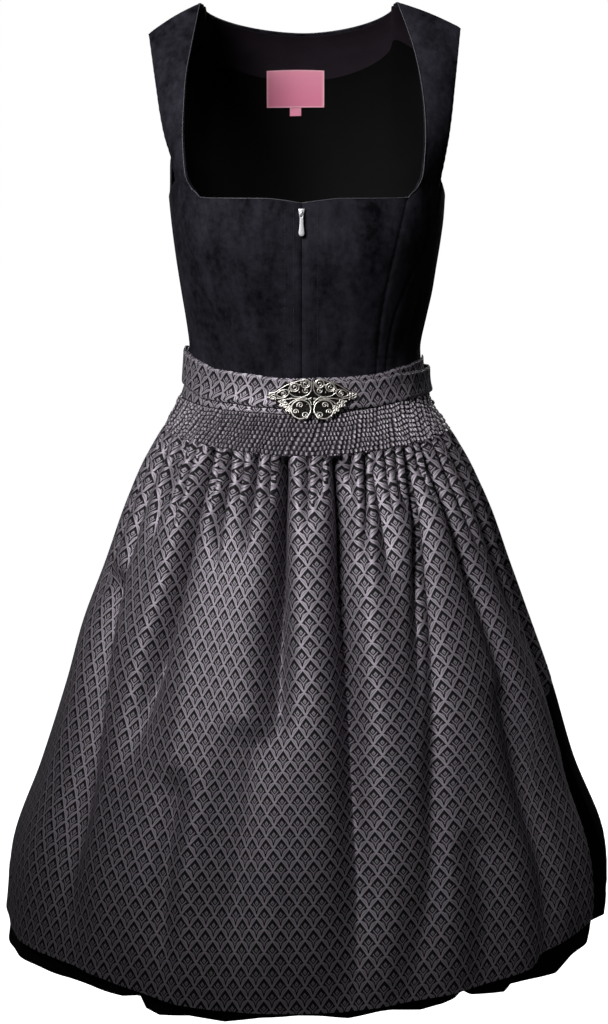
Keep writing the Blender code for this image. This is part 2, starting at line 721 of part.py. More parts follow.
def back_side_grid(side):
    """Side back, from the side seam to the back seam."""
    columns = 7
    inner = seam_heights(UNDERARM_Z, BODICE_LEVELS[-3:], waist_seam(90.0))
    outer = seam_heights(BACK_SEAM[0].z, BODICE_LEVELS[-3:], waist_seam(150.0))
    edge = armhole_edge(90.0, ARMHOLE[-1].angle, columns)
    edge[0] = inner[0]
    edge[-1] = outer[0]
    return panel_between(side, (inner, outer), (side_seam_angle, back_seam_angle), edge, columns)


def back_centre_grid():
    """Centre back with both back straps: from the neckline and shoulder seams to the waist."""
    columns = 27
    u = np.linspace(-1.0, 1.0, columns)
    z = seam_heights(BACK_SEAM[0].z, BODICE_LEVELS[-3:], waist_seam(180.0) + 0.5 * SEAM_GAP)
    start, end = back_seam_angle(z, LEFT), 360.0 - back_seam_angle(z, RIGHT)
    start, end = trimmed(start, end, column_of(SECTIONS, "right", z))
    angle = spread(start, end, columns)
    lower = envelope(angle, z[:, None])
    base = lower[0]
    t = np.array(BACK_UPPER_ROWS)
    upper = np.empty((len(t), columns, 3))
    for i, side in [(i, LEFT if u[i] <= 0 else RIGHT) for i in range(columns)]:
        neck = np.clip(np.abs(u[i]) / BACK_NECK_SHARE, 0.0, 1.0)
        strap = np.clip((np.abs(u[i]) - BACK_NECK_SHARE) / (1.0 - BACK_NECK_SHARE), 0.0, 1.0)
        inner, outer = side.strap_inner[0], side.strap_outer[0]
        turn = neck * np.pi / 2
        top = np.array(
            [
                side.sign * (np.sin(turn) ** BACK_NECK_SQUARE * inner.x + (outer.x - inner.x) * strap),
                SHOULDER_SEAM_GAP + BACK_NECK[0] * np.cos(turn) ** 0.75,
                BACK_NECK[1]
                + (inner.z - BACK_NECK[1]) * (1.0 - np.cos(turn) ** 1.1)
                + (outer.z - inner.z) * strap,
            ]
        )
        bend = 0.5 * (base[i] + top)
        bend[1] = base[i, 1] * 0.985
        bend[2] = top[2] - BACK_BEND * (top[2] - base[i, 2])
        down = t[:, None]
        line = (1 - down) ** 2 * top + 2 * down * (1 - down) * bend + down**2 * base[i]
        edge_z = outer.z + (BACK_SEAM[0].z - outer.z) * t
        edge = edge_line(side.back_outer, edge_z, side)
        edge += (base[i] - edge[-1]) * t[:, None] ** 3 * strap
        edge[0, 1] = SHOULDER_SEAM_GAP
        near_edge = ease(strap, 0.0, 1.0)
        upper[:, i] = line * (1.0 - near_edge) + edge * near_edge
    upper = upper[:-1]
    normals = outward(np.concatenate([upper, lower[:2]]))[: len(upper)]
    normals = np.concatenate([normals, outline_normals(angle, z[:, None])])
    normals[0, np.abs(u) >= BACK_NECK_SHARE - 0.02, 1] = 0.0
    normals[0] /= np.linalg.norm(normals[0], axis=-1, keepdims=True)
    return np.concatenate([upper, lower]), normals


def build_bodice(velvet, lining):
    """The nine velvet panels and the lining that shows inside the back."""
    for side, suffix in ((LEFT, "_left"), (RIGHT, "_right")):
        for name, panel in (
            ("bodice_front", front_centre_grid),
            ("bodice_strap_front", front_strap_grid),
            ("bodice_side", side_grid),
            ("bodice_side_back", back_side_grid),
        ):
            grid, normals = panel(side)
            wall_between(name + suffix, grid, grid - normals * BODICE_WALL, velvet)
    back, normals = back_centre_grid()
    wall_between("bodice_back", back, back - normals * BODICE_WALL, velvet)
    kept = np.ix_(LINING_ROWS, LINING_COLUMNS)
    lined = (back - normals * (BODICE_WALL + LINING_GAP))[kept]
    lining_inside = lined - normals[kept] * LINING_WALL
    wall_between("back_lining", lined, lining_inside, lining)
    return lining_inside


def depth_on(grid, x, z):
    """Depth (y) of a grid's surface at each x and z, for a surface that x and z address once."""
    found = np.empty(x.shape)
    for place in np.ndindex(x.shape):
        columns = grid.swapaxes(0, 1)
        across = np.array([np.interp(-z[place], -column[:, 2], column[:, 0]) for column in columns])
        depths = np.array([np.interp(-z[place], -column[:, 2], column[:, 1]) for column in columns])
        found[place] = np.interp(-x[place], -across, depths)
    return found


def build_labels(lining_inside, pink):
    """The blank neck label and its size tab, lying on the lining."""
    columns, rows = 5, 4

    def slab(name, left, right, top, bottom):
        x, z = np.meshgrid(np.linspace(right, left, columns), np.linspace(top, bottom, rows))
        y = depth_on(lining_inside, x, z) - LINING_GAP
        inner = np.stack([x, y - LABEL_WALL, z], axis=-1)
        wall_between(name, np.stack([x, y, z], axis=-1), inner, pink)

    half = LABEL_SIZE[0] / 2
    bottom = LABEL_TOP - LABEL_SIZE[1]
    slab("neck_label", LABEL_CENTRE_X - half, LABEL_CENTRE_X + half, LABEL_TOP, bottom)
    half = TAB_SIZE[0] / 2
    tab_top = bottom - SEAM_GAP
    slab("size_tab", LABEL_CENTRE_X - half, LABEL_CENTRE_X + half, tab_top, tab_top - TAB_SIZE[1])


def box(name, centre, size):
    mesh = bpy.data.meshes.new(name)
    shape = bmesh.new()
    bmesh.ops.create_cube(shape, size=1.0)
    bmesh.ops.scale(shape, vec=size, verts=shape.verts)
    bmesh.ops.translate(shape, vec=centre, verts=shape.verts)
    shape.to_mesh(mesh)
    shape.free()
    return mesh


def plate(name, outline, holes, thickness):
    """A flat plate in its own x-y plane with holes through it, centred on z = 0."""
    curve = bpy.data.curves.new(name + "_outline", "CURVE")
    curve.dimensions = "2D"
    curve.fill_mode = "BOTH"
    curve.extrude = thickness / 2
    for ring in (outline, *holes):
        spline = curve.splines.new("POLY")
        spline.points.add(len(ring) - 1)
        for point, (x, y) in zip(spline.points, ring):
            point.co = (x, y, 0.0, 1.0)
        spline.use_cyclic_u = True
    holder = bpy.data.objects.new(name + "_outline", curve)
    mesh = bpy.data.meshes.new_from_object(holder)
    bpy.data.objects.remove(holder)
    shape = bmesh.new()
    shape.from_mesh(mesh)
    bmesh.ops.remove_doubles(shape, verts=shape.verts, dist=1e-6)
    bmesh.ops.recalc_face_normals(shape, faces=shape.faces)
    shape.to_mesh(mesh)
    shape.free()
    return mesh


def turned_up(mesh, centre):
    """Stands a plate up so that its x-y plane faces the front, and places it."""
    for vertex in mesh.vertices:
        x, y, z = vertex.co
        vertex.co = (centre[0] + x, centre[1] - z, centre[2] + y)
    if is_inside_out(mesh):
        mesh.flip_normals()
    return mesh


def is_inside_out(mesh):
    mesh.calc_loop_triangles()
    corners = np.array([[mesh.vertices[i].co[:] for i in t.vertices] for t in mesh.loop_triangles])
    return np.einsum("ij,ij->i", corners[:, 0], np.cross(corners[:, 1], corners[:, 2])).sum() < 0


def build_zip(tape_cloth, metal):
    """Zip tape behind the opening, the slider with its bail, and the pull that swings in the bail."""
    z = np.array([NECK_Z - NECK_NOTCH[0], *BODICE_LEVELS[1:], WAIST_SEAM_FRONT + 0.5 * SEAM_GAP])
    start, end = front_angle(ZIP_X - ZIP_HALF_WIDTH, z), front_angle(ZIP_X + ZIP_HALF_WIDTH, z)
    behind = envelope(spread(start, end, 5), z[:, None], -BODICE_WALL - LINING_GAP)
    inner = behind - outward(behind) * ZIP_TAPE_WALL
    wall_between("zip_tape", behind, inner, tape_cloth)

    cloth_y = envelope(0.0, SLIDER_Z)[1]
    back_y = cloth_y - LAYER_GAP
    body_y = back_y - SLIDER_SIZE[1] / 2
    slider = add_object("zip_slider", box("zip_slider", (ZIP_X, body_y, SLIDER_Z), SLIDER_SIZE), metal)
    face_y = back_y - SLIDER_SIZE[1]
    depth, height = BAIL_OPENING
    outer = (BAIL_WIDTH, depth + BAIL_BAND + SLIDER_SIZE[1] / 2, height + 2 * BAIL_BAND)
    bail_y = face_y - depth - BAIL_BAND + outer[1] / 2
    bail = add_object("bail_cutter", box("bail", (ZIP_X, bail_y, SLIDER_Z), outer), metal)
    hole_size = (2 * BAIL_WIDTH, depth, height)
    hole = add_object("bail_hole", box("hole", (ZIP_X, face_y - depth / 2, SLIDER_Z), hole_size), metal)
    for target, cutter, operation in ((bail, hole, "DIFFERENCE"), (slider, bail, "UNION")):
        cut = target.modifiers.new(operation.lower(), "BOOLEAN")
        cut.operation = operation
        cut.object = cutter
        cutter.hide_render = True
        cutter.display_type = "WIRE"

    axis = (ZIP_X, face_y - depth / 2, SLIDER_Z)
    belly = PULL_BAR + PULL_HALF_WIDTH - PULL_LENGTH
    turns = np.linspace(np.pi, 0.0, 9)
    low = [(PULL_HALF_WIDTH * np.cos(a), belly - PULL_HALF_WIDTH * np.sin(a)) for a in turns]
    top = PULL_BAR
    neck = PULL_EYE_HALF_WIDTH + PULL_SIDE
    outline = [(-neck, top), *low, (neck, top)]
    eye = PULL_EYE_HALF_WIDTH
    hole_ring = [(-eye, -PULL_BAR), (-eye, -PULL_EYE_END), (eye, -PULL_EYE_END), (eye, -PULL_BAR)]
    pull = turned_up(plate("zip_pull", outline, [hole_ring], PULL_THICK), (0.0, 0.0, 0.0))
    made = add_object("zip_pull", pull, metal)
    made.location = axis
    return axis


def moved_level(grid, distance, normals=None):
    """Moved out by distance along the normals, but level, so that every point keeps its height."""
    normals = outward(grid) if normals is None else normals
    flat = normals * np.array([1.0, 1.0, 0.0])
    return grid + flat * (distance / (flat**2).sum(axis=-1, keepdims=True))


def apron_edges(down):
    """Angles of the apron's two side edges at each share of the way down."""
    start = APRON_LEFT[0] + (APRON_LEFT[1] - APRON_LEFT[0]) * down
    knots = [row.down for row in APRON_RIGHT_EDGE]
    return start, smooth(knots, [row.angle for row in APRON_RIGHT_EDGE], down)


def skirt_seams(down):
    """Angles of the skirt's two side seams at each share of the way down."""
    return [top + (hem - top) * down for top, hem in SKIRT_SEAMS]


def apron_grid(folds):
    """The cloth line that the apron lies over, from under the yoke to the apron's hem."""
    down = np.linspace(0.0, 1.0, APRON_ROWS) ** 1.15
    angles = spread(*apron_edges(down), APRON_COLUMNS)
    top = dipped(YOKE_BOTTOM, angles[0])
    z = top + (hem_at(APRON_HEM, angles[-1]) - top) * down[:, None]
    return folded(angles, z, folds)


def skirt_heights(angles):
    """Row heights of the skirt at the angles of its columns: waist seam, the yoke's rows and the hem."""
    seam = waist_seam(angles[0]) - 0.5 * SEAM_GAP
    yoke_top = level_at(YOKE_TOP, angles[0])
    yoke_bottom = dipped(YOKE_BOTTOM, angles[0])
    waist_z = [
        seam + (yoke_top - seam) * min(share, 1.0) + (yoke_bottom - yoke_top) * max(share - 1.0, 0.0)
        for share in WAIST_SHARES
    ]
    hem = hem_at(SKIRT_HEM_LEVELS, angles[-1])
    lower_z = yoke_bottom + (hem - yoke_bottom) * np.array(SKIRT_ROWS)[:, None]
    return np.concatenate([np.array(waist_z), lower_z])


def skirt_angles(start, end, columns):
    """Column angles of a width of the skirt between two seams, each drawn in by half the seam gap."""
    return spread(*trimmed(start, end, 0.25), columns)


def skirt_wall(name, angles, z, inset, cloth):
    """A width of the skirt: the outline drawn in by inset, its edges turned alike on both sides of a seam."""
    phi = np.radians(angles)
    inward = np.stack([-np.sin(phi), np.cos(phi), np.zeros_like(phi)], axis=-1)
    outer = envelope(angles, z) + inward * inset[..., None]
    normals = outward(outer)
    edges = outline_normals(angles, z)
    normals[:, [0, -1]] = edges[:, [0, -1]]
    wall_between(name, outer, moved_level(outer, -SKIRT_WALL, normals), cloth)


def build_skirt_and_apron(skirt_cloth, jacquard):
    """The gathered skirt in three widths, and the apron over its front with its folds.

    Under the apron the skirt lies inside the apron's deepest folds.
    """
    folds = FRONT_FOLDS + back_folds()
    down = np.array([0.0] * len(WAIST_SHARES) + list(SKIRT_ROWS))
    right_seam, left_seam = skirt_seams(down)
    angles = skirt_angles(right_seam, left_seam, SKIRT_COLUMNS)
    z = skirt_heights(angles)
    aside, below = np.gradient(angles, axis=1), np.gradient(z, axis=0)
    near = [
        fold_inset(angles + aside * across, z + below * down_step, folds)
        for across in np.linspace(-1.0, 1.0, 9)
        for down_step in np.linspace(-0.8, 0.8, 5)
    ]
    below_yoke = np.clip((dipped(YOKE_BOTTOM, angles) - z) / 0.05, 0.0, 1.0)
    inset = np.max(near, axis=0) + SKIRT_UNDER_APRON * below_yoke
    inset[:, [0, -1]] = fold_inset(angles, z, folds)[:, [0, -1]]
    skirt_wall("skirt_front", angles, z, inset, skirt_cloth)

    centre = np.full_like(down, 180.0)
    for name, start, end in (("left", left_seam, centre), ("right", centre, 360.0 + right_seam)):
        angles = skirt_angles(start, end, BACK_COLUMNS)
        z = skirt_heights(angles)
        skirt_wall("skirt_back_" + name, angles, z, fold_inset(angles, z, folds), skirt_cloth)

    apron = apron_grid(folds)
    inner = moved_level(apron, YOKE_GAP)
    outer = moved_level(apron, YOKE_GAP + APRON_WALL)
    wall_between("apron_panel", outer, inner, jacquard)


def build_yoke_and_band(jacquard):
    """The smocked yoke with its tucks, and the plain waistband above it."""
    steps = 2 * YOKE_TUCKS + 1
    angles = np.linspace(APRON_LEFT[0], APRON_RIGHT_TOP, steps)
    top = level_at(YOKE_TOP, angles)
    bottom = dipped(YOKE_BOTTOM, angles) + SEAM_GAP
    share = np.linspace(0.0, 1.0, YOKE_ROWS)[:, None]
    z = top + (bottom - top) * share
    tuck = YOKE_RISE * (np.arange(steps) % 2)[None, :] * np.where(share > 0.0, 1.0, 0.35)
    outer = envelope(angles[None, :], z, YOKE_GAP + APRON_WALL + tuck)
    plain = angles[::YOKE_INSIDE_STEP]
    inner = envelope(plain[None, :], z[:, ::YOKE_INSIDE_STEP], YOKE_GAP)
    wall_between("apron_yoke", outer, inner, jacquard)

    angles = np.linspace(APRON_LEFT[0], APRON_RIGHT_TOP, BAND_COLUMNS)
    top = level_at(BAND_TOP, angles)
    bottom = level_at(YOKE_TOP, angles) + SEAM_GAP
    z = top + (bottom - top) * np.linspace(0.0, 1.0, 4)[:, None]
    band = envelope(angles[None, :], z, YOKE_GAP + APRON_WALL)
    wall_between("apron_waistband", band, envelope(angles[None, :], z, YOKE_GAP), jacquard)


def belt_offset(angle):
    """How far the belt's outside stands off the outline: over the waistband in front, closer at the back."""
    over = ease(np.abs(turned(angle)), 108.0, 99.0)
    loose = np.exp(-(((turned(angle) - BELT_LOOSE_ANGLE) / BELT_LOOSE_REACH) ** 2))
    return YOKE_GAP + BELT_OVER_BAND * over + BELT_WALL + BELT_LOOSE_RISE * loose


def belt_point(angle, z, extra=0.0):
    return envelope(angle, z, belt_offset(angle) + extra)


def build_belt(jacquard):
    """The belt round the waist, its two ends meeting under the clasp."""
    middle = front_angle(CLASP_X, CLASP_Z)
    gap = np.degrees(BELT_END_GAP / 0.1)
    angles = np.linspace(middle + gap, 360.0 + middle - gap, BELT_COLUMNS)
    knots = [row.angle for row in BELT]
    top = smooth(knots, [row.top for row in BELT], angles % 360.0)
    height = smooth(knots, [row.height for row in BELT], angles % 360.0)
    z = top - height * np.linspace(0.0, 1.0, 3)[:, None]
    belt = belt_point(angles[None, :], z)
    wall_between("apron_belt", belt, belt_point(angles[None, :], z, -BELT_WALL), jacquard)


def clasp_outline():
    """The scalloped outline of one half: the farthest lobe in each direction from its middle."""
    middle = np.array(CLASP_MIDDLE)
    ring = []
    for turn in np.linspace(0.0, 2 * np.pi, OUTLINE_STEPS, endpoint=False):
        ray = np.array([np.cos(turn), np.sin(turn)])
        reach = 0.0
        for lobe in CLASP_LOBES:
            to_lobe = np.array([lobe.x, lobe.z]) - middle
            along = to_lobe @ ray
            inside = lobe.radius**2 - (to_lobe @ to_lobe - along**2)
            if inside > 0:
                reach = max(reach, along + np.sqrt(inside))
        point = middle + ray * reach
        ring.append((max(point[0], CLASP_HALVES_GAP), point[1]))
    return ring


def clasp_holes():
    turns = np.linspace(0.0, 2 * np.pi, HOLE_STEPS, endpoint=False)
    return [
        [(lobe.x + lobe.hole * np.cos(a), lobe.z + lobe.hole * np.sin(a)) for a in turns]
        for lobe in CLASP_LOBES
    ]


def build_clasp(silver):
    """The two halves of the clasp, bent to lie on the belt."""
    for name, side in (("clasp_left", 1.0), ("clasp_right", -1.0)):
        mesh = plate(name, clasp_outline(), clasp_holes(), CLASP_WALL)
        for vertex in mesh.vertices:
            x, up, out = vertex.co
            z = CLASP_Z + up
            flat_x = CLASP_X + side * x
            extra = CLASP_GAP + CLASP_WALL / 2 + out
            on_belt = envelope(front_angle(flat_x, CLASP_Z), CLASP_Z, belt_offset(0.0) + extra)
            lean = envelope(0.0, z)[1] - envelope(0.0, CLASP_Z)[1]
            vertex.co = (on_belt[0], on_belt[1] + min(lean, 0.0), z)
        if is_inside_out(mesh):
            mesh.flip_normals()
        add_object(name, mesh, silver)


def main():
    for old in list(bpy.data.objects):
        bpy.data.objects.remove(old)
    velvet = material("black_velvet", (0.012, 0.012, 0.020), 0.85)
    lining = material("black_lining", (0.010, 0.010, 0.010), 0.60)
    skirt_cloth = material("black_skirt_cloth", (0.008, 0.008, 0.012), 0.75)
    jacquard = material("grey_jacquard", (0.110, 0.100, 0.120), 0.50)
    silver = material("old_silver", (0.60, 0.57, 0.52), 0.32, 1.0)
    zip_metal = material("zip_metal", (0.55, 0.55, 0.57), 0.28, 1.0)
    pink = material("pink_label", (0.62, 0.16, 0.25), 0.70)
    lining_inside = build_bodice(velvet, lining)
    build_labels(lining_inside, pink)
    build_zip(skirt_cloth, zip_metal)
    build_skirt_and_apron(skirt_cloth, jacquard)
    build_yoke_and_band(jacquard)
    build_belt(jacquard)
    build_clasp(silver)


main()
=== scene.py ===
"""The looks of a dirndl with its smocked apron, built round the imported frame: cloth, stitching and metal.

Units are metres. The front faces -Y and the wearer's left is +X. An angle on the garment is 0 at the front
centre, 90 degrees at the wearer's left side and 180 at the back. A cloth's points are a grid: rows run from
its top edge down and columns run with growing angle, with the cloth's right side facing away from the wearer.
"""

import logging
import math
from collections.abc import Sequence
from dataclasses import dataclass
from enum import Enum
from typing import NamedTuple

import bpy
import numpy as np
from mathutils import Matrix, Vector


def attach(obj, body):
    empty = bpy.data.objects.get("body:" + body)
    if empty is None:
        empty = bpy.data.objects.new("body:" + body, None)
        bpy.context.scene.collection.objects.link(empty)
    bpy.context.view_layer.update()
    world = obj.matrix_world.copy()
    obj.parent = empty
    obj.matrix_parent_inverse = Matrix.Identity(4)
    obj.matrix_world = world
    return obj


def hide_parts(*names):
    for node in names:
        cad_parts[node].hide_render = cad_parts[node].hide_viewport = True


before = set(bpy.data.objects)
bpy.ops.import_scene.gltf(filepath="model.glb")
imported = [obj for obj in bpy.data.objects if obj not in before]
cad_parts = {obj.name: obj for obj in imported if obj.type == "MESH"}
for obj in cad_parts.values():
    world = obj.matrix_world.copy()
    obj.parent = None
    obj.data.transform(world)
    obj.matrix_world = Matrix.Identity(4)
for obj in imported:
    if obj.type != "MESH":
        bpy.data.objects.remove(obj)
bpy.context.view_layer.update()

log = logging.getLogger("dirndl")
Array = np.ndarray
Color = tuple[float, float, float]
Material = bpy.types.Material
Piece = bpy.types.Object
Socket = bpy.types.NodeSocket

# Levels and gaps of the garment, as in its solids
WAIST_SEAM_FRONT = -0.3840
WAIST_SEAM_BACK = -0.3740
SKIRT_HEM = -0.9900
SEAM_GAP = 0.0004
YOKE_GAP = 0.0011
APRON_WALL = 0.0015
BODICE_WALL = 0.0020
LINING_GAP = 0.0012


def table(kind: type, *rows: tuple) -> tuple:
    """Rows of one kind, each given as plain values in the order of its columns."""
    return tuple(kind(*row) for row in rows)


class Section(NamedTuple):
    """The garment's outline at one level."""

    z: float
    right: float
    left: float
    front: float
    back: float
    power: float


SECTIONS = table(
    Section,
    (-0.140, 0.1450, 0.1480, 0.1120, 0.1160, 2.4),
    (-0.186, 0.1400, 0.1460, 0.1225, 0.1150, 2.4),
    (-0.215, 0.1372, 0.1440, 0.1238, 0.1120, 2.4),
    (-0.250, 0.1328, 0.1388, 0.1215, 0.1060, 2.4),
    (-0.295, 0.1262, 0.1317, 0.1110, 0.0980, 2.35),
    (-0.340, 0.1200, 0.1220, 0.1005, 0.0915, 2.3),
    (-0.362, 0.1205, 0.1225, 0.0965, 0.0895, 2.25),
    (-0.384, 0.1230, 0.1245, 0.0965, 0.0925, 2.2),
    (-0.400, 0.1295, 0.1310, 0.1000, 0.0985, 2.2),
    (-0.421, 0.1400, 0.1450, 0.1100, 0.1110, 2.2),
    (-0.442, 0.1530, 0.1605, 0.1215, 0.1235, 2.2),
    (-0.463, 0.1650, 0.1735, 0.1330, 0.1350, 2.15),
    (-0.505, 0.1835, 0.1940, 0.1520, 0.1550, 2.15),
    (-0.569, 0.2065, 0.2180, 0.1745, 0.1780, 2.1),
    (-0.633, 0.2310, 0.2415, 0.1960, 0.1990, 2.1),
    (-0.697, 0.2485, 0.2650, 0.2160, 0.2180, 2.1),
    (-0.783, 0.2750, 0.2905, 0.2400, 0.2410, 2.1),
    (-0.870, 0.3060, 0.3245, 0.2610, 0.2610, 2.1),
    (-0.930, 0.3120, 0.3270, 0.2720, 0.2710, 2.1),
    (-0.985, 0.3190, 0.3130, 0.2740, 0.2710, 2.1),
)
BODICE_LEVELS = (-0.186, -0.204, -0.232, -0.268, -0.305, -0.338, -0.354, -0.369)
BUST_FULLNESS = 0.0060
BUST_ANGLE = 33.0
BUST_Z = -0.232
BUST_REACH = (22.0, 0.045)


class SeamPoint(NamedTuple):
    """How far from the centre a seam runs at one height."""

    z: float
    x: float


PRINCESS_SEAM = table(
    SeamPoint,
    (-0.186, 0.104), (-0.226, 0.092), (-0.251, 0.087), (-0.293, 0.08), (-0.34, 0.0755), (-0.39, 0.0725),
)
BACK_SEAM = table(
    SeamPoint,
    (-0.148, 0.14), (-0.19, 0.118), (-0.25, 0.084), (-0.31, 0.062), (-0.39, 0.052),
)
ZIP_X = -0.0025
NECK_Z = -0.1865
NECK_NOTCH = (0.0045, 5.0)


class EdgePoint(NamedTuple):
    """A point of a strap's edge, at one height."""

    z: float
    x: float
    y: float


class Side(NamedTuple):
    """The edges and the seam of the strap on one side of the bodice."""

    sign: int
    strap_inner: tuple[EdgePoint, ...]
    strap_outer: tuple[EdgePoint, ...]
    strap_seam: tuple[SeamPoint, ...]
    back_outer: tuple[EdgePoint, ...]


LEFT = Side(
    1,
    table(
        EdgePoint,
        (0.011, 0.096, 0.0), (-0.032, 0.111, -0.027), (-0.077, 0.12, -0.05), (-0.112, 0.1229, -0.066),
        (-0.15, 0.1215, -0.079), (-0.169, 0.118, -0.086), (-0.177, 0.113, -0.091),
    ),
    table(
        EdgePoint,
        (-0.015, 0.1612, 0.0), (-0.043, 0.158, -0.017), (-0.077, 0.1542, -0.033),
        (-0.1214, 0.1494, -0.044), (-0.15, 0.1445, -0.046), (-0.17, 0.1405, -0.046),
    ),
    table(
        SeamPoint,
        (-0.17, 0.1405), (-0.204, 0.1335), (-0.248, 0.114), (-0.293, 0.096), (-0.34, 0.086),
        (-0.39, 0.083),
    ),
    table(
        EdgePoint,
        (-0.015, 0.1612, 0.0), (-0.05, 0.1575, 0.026), (-0.09, 0.153, 0.04), (-0.12, 0.1495, 0.042),
        (-0.148, 0.144, 0.04),
    ),
)
RIGHT = Side(
    -1,
    table(
        EdgePoint,
        (0.01, 0.107, 0.0), (-0.032, 0.1149, -0.027), (-0.066, 0.1205, -0.045), (-0.1, 0.1222, -0.062),
        (-0.15, 0.1215, -0.079), (-0.169, 0.118, -0.086), (-0.177, 0.113, -0.091),
    ),
    table(
        EdgePoint,
        (-0.021, 0.16, 0.0), (-0.05, 0.1556, -0.017), (-0.089, 0.1498, -0.033), (-0.1214, 0.1443, -0.045),
        (-0.1425, 0.1378, -0.051), (-0.17, 0.132, -0.058),
    ),
    table(
        SeamPoint,
        (-0.17, 0.132), (-0.204, 0.13), (-0.248, 0.114), (-0.293, 0.095), (-0.34, 0.085), (-0.39, 0.082),
    ),
    table(
        EdgePoint,
        (-0.021, 0.16, 0.0), (-0.05, 0.156, 0.024), (-0.09, 0.151, 0.04), (-0.12, 0.1465, 0.042),
        (-0.148, 0.14, 0.04),
    ),
)
STRAP_ROWS_INNER = (-0.012, -0.036, -0.064, -0.094, -0.124, -0.150, -0.166)
STRAP_ROWS_OUTER = (-0.036, -0.056, -0.078, -0.102, -0.126, -0.146, -0.160)
STRAP_CROWN = 0.0030
SHOULDER_SEAM_GAP = 0.0003
BACK_NECK = (0.0800, -0.0190)
BACK_NECK_SHARE = 0.62
BACK_NECK_SQUARE = 1.15
BACK_BEND = 0.34
BACK_UPPER_ROWS = (0.0, 0.10, 0.22, 0.38, 0.56, 0.78, 1.0)
UNDERARM_ROWS = 7
UNDERARM_Z = -0.188


class Level(NamedTuple):
    """The height of an edge at one angle."""

    angle: float
    z: float


ARMHOLE = table(
    Level,
    (62.0, -0.166), (68.0, -0.172), (78.0, -0.182), (90.0, -0.188), (98.0, -0.178), (106.0, -0.148),
)
APRON_LEFT = (-96.0, -94.0)
APRON_RIGHT_TOP = 88.0


class EdgeAngle(NamedTuple):
    """Where the apron's right edge stands at a share of the way down."""

    down: float
    angle: float


APRON_RIGHT_EDGE = table(
    EdgeAngle,
    (0.0, 88.0), (0.3, 88.0), (0.42, 87.0), (0.5, 84.5), (0.56, 80.5), (0.62, 75.5), (0.68, 72.0),
    (0.76, 68.5), (0.84, 65.5), (0.92, 64.0), (1.0, 63.0),
)
SKIRT_SEAMS = ((-102.0, -100.0), (94.0, 77.0))
YOKE_BOTTOM = (-0.4445, -0.4270)
YOKE_TOP = table(
    Level,
    (-180.0, -0.39), (-96.0, -0.3925), (-66.0, -0.396), (-42.0, -0.4007), (-16.5, -0.4037),
    (-4.0, -0.4045), (12.0, -0.4035), (26.0, -0.3997), (49.5, -0.3925), (88.0, -0.387), (180.0, -0.39),
)
BAND_TOP = table(
    Level,
    (-96.0, -0.3448), (-80.0, -0.3472), (-69.5, -0.35), (-53.5, -0.357), (-44.8, -0.3608),
    (-32.0, -0.3634), (-17.0, -0.3672), (0.0, -0.3682), (13.8, -0.3674), (28.0, -0.3661), (51.5, -0.359),
    (70.0, -0.3548), (88.0, -0.3515),
)
APRON_HEM = table(
    Level,
    (-96.0, -0.924), (-86.0, -0.932), (-75.0, -0.943), (-66.0, -0.948), (-46.0, -0.9525),
    (-39.0, -0.9575), (-30.0, -0.966), (-22.0, -0.974), (-14.0, -0.9775), (6.0, -0.978), (16.0, -0.972),
    (24.0, -0.9665), (39.0, -0.9575), (44.0, -0.9525), (46.5, -0.94), (57.0, -0.9295), (63.0, -0.9215),
    (72.0, -0.915),
)
SKIRT_HEM_LEVELS = table(
    Level,
    (-180.0, -0.964), (-120.0, -0.968), (-92.0, -0.96), (-80.0, -0.968), (-49.0, -0.969), (-43.0, -0.971),
    (-34.0, -0.9745), (-30.5, -0.972), (-29.0, -0.9835), (-26.0, -0.9885), (-20.0, -0.986),
    (-13.5, -0.99), (-7.0, -0.984), (-1.0, -0.9825), (7.5, -0.9865), (15.5, -0.98), (21.0, -0.9815),
    (28.0, -0.974), (29.5, -0.967), (31.5, -0.9725), (39.5, -0.975), (40.8, -0.968), (54.0, -0.969),
    (59.0, -0.956), (70.0, -0.947), (86.0, -0.937), (115.0, -0.95), (180.0, -0.964),
)
BELT_WALL = 0.0018


class BeltLevel(NamedTuple):
    """Height of the belt's top edge, and the belt's width, at one angle."""

    angle: float
    top: float
    height: float


BELT = table(
    BeltLevel,
    (0.0, -0.3698, 0.029), (11.0, -0.3704, 0.0285), (28.0, -0.3701, 0.0282), (45.0, -0.366, 0.0275),
    (62.0, -0.3644, 0.0265), (84.0, -0.3639, 0.0255), (105.0, -0.3622, 0.0265), (140.0, -0.359, 0.029),
    (180.0, -0.356, 0.0305), (225.0, -0.35, 0.0325), (264.0, -0.344, 0.0345), (280.0, -0.3455, 0.0355),
    (290.5, -0.3485, 0.035), (306.5, -0.3557, 0.034), (315.2, -0.3596, 0.033), (328.0, -0.3622, 0.032),
    (343.0, -0.3663, 0.0305), (356.0, -0.3693, 0.0292), (360.0, -0.3698, 0.029),
)
BELT_OVER_BAND = 0.0030
BELT_LOOSE_RISE = 0.0032
BELT_LOOSE_ANGLE = 92.0
BELT_LOOSE_REACH = 9.0
BELT_END_GAP = 0.0030
CLASP_X = 0.0080
CLASP_Z = -0.3885
CLASP_WALL = 0.0016
CLASP_GAP = 0.0012


class Fold(NamedTuple):
    """A valley in gathered cloth: where it runs, how wide and deep it is, and the heights it spans."""

    angle_top: float
    angle_hem: float
    width_top: float
    width_hem: float
    depth: float
    z_from: float
    z_to: float


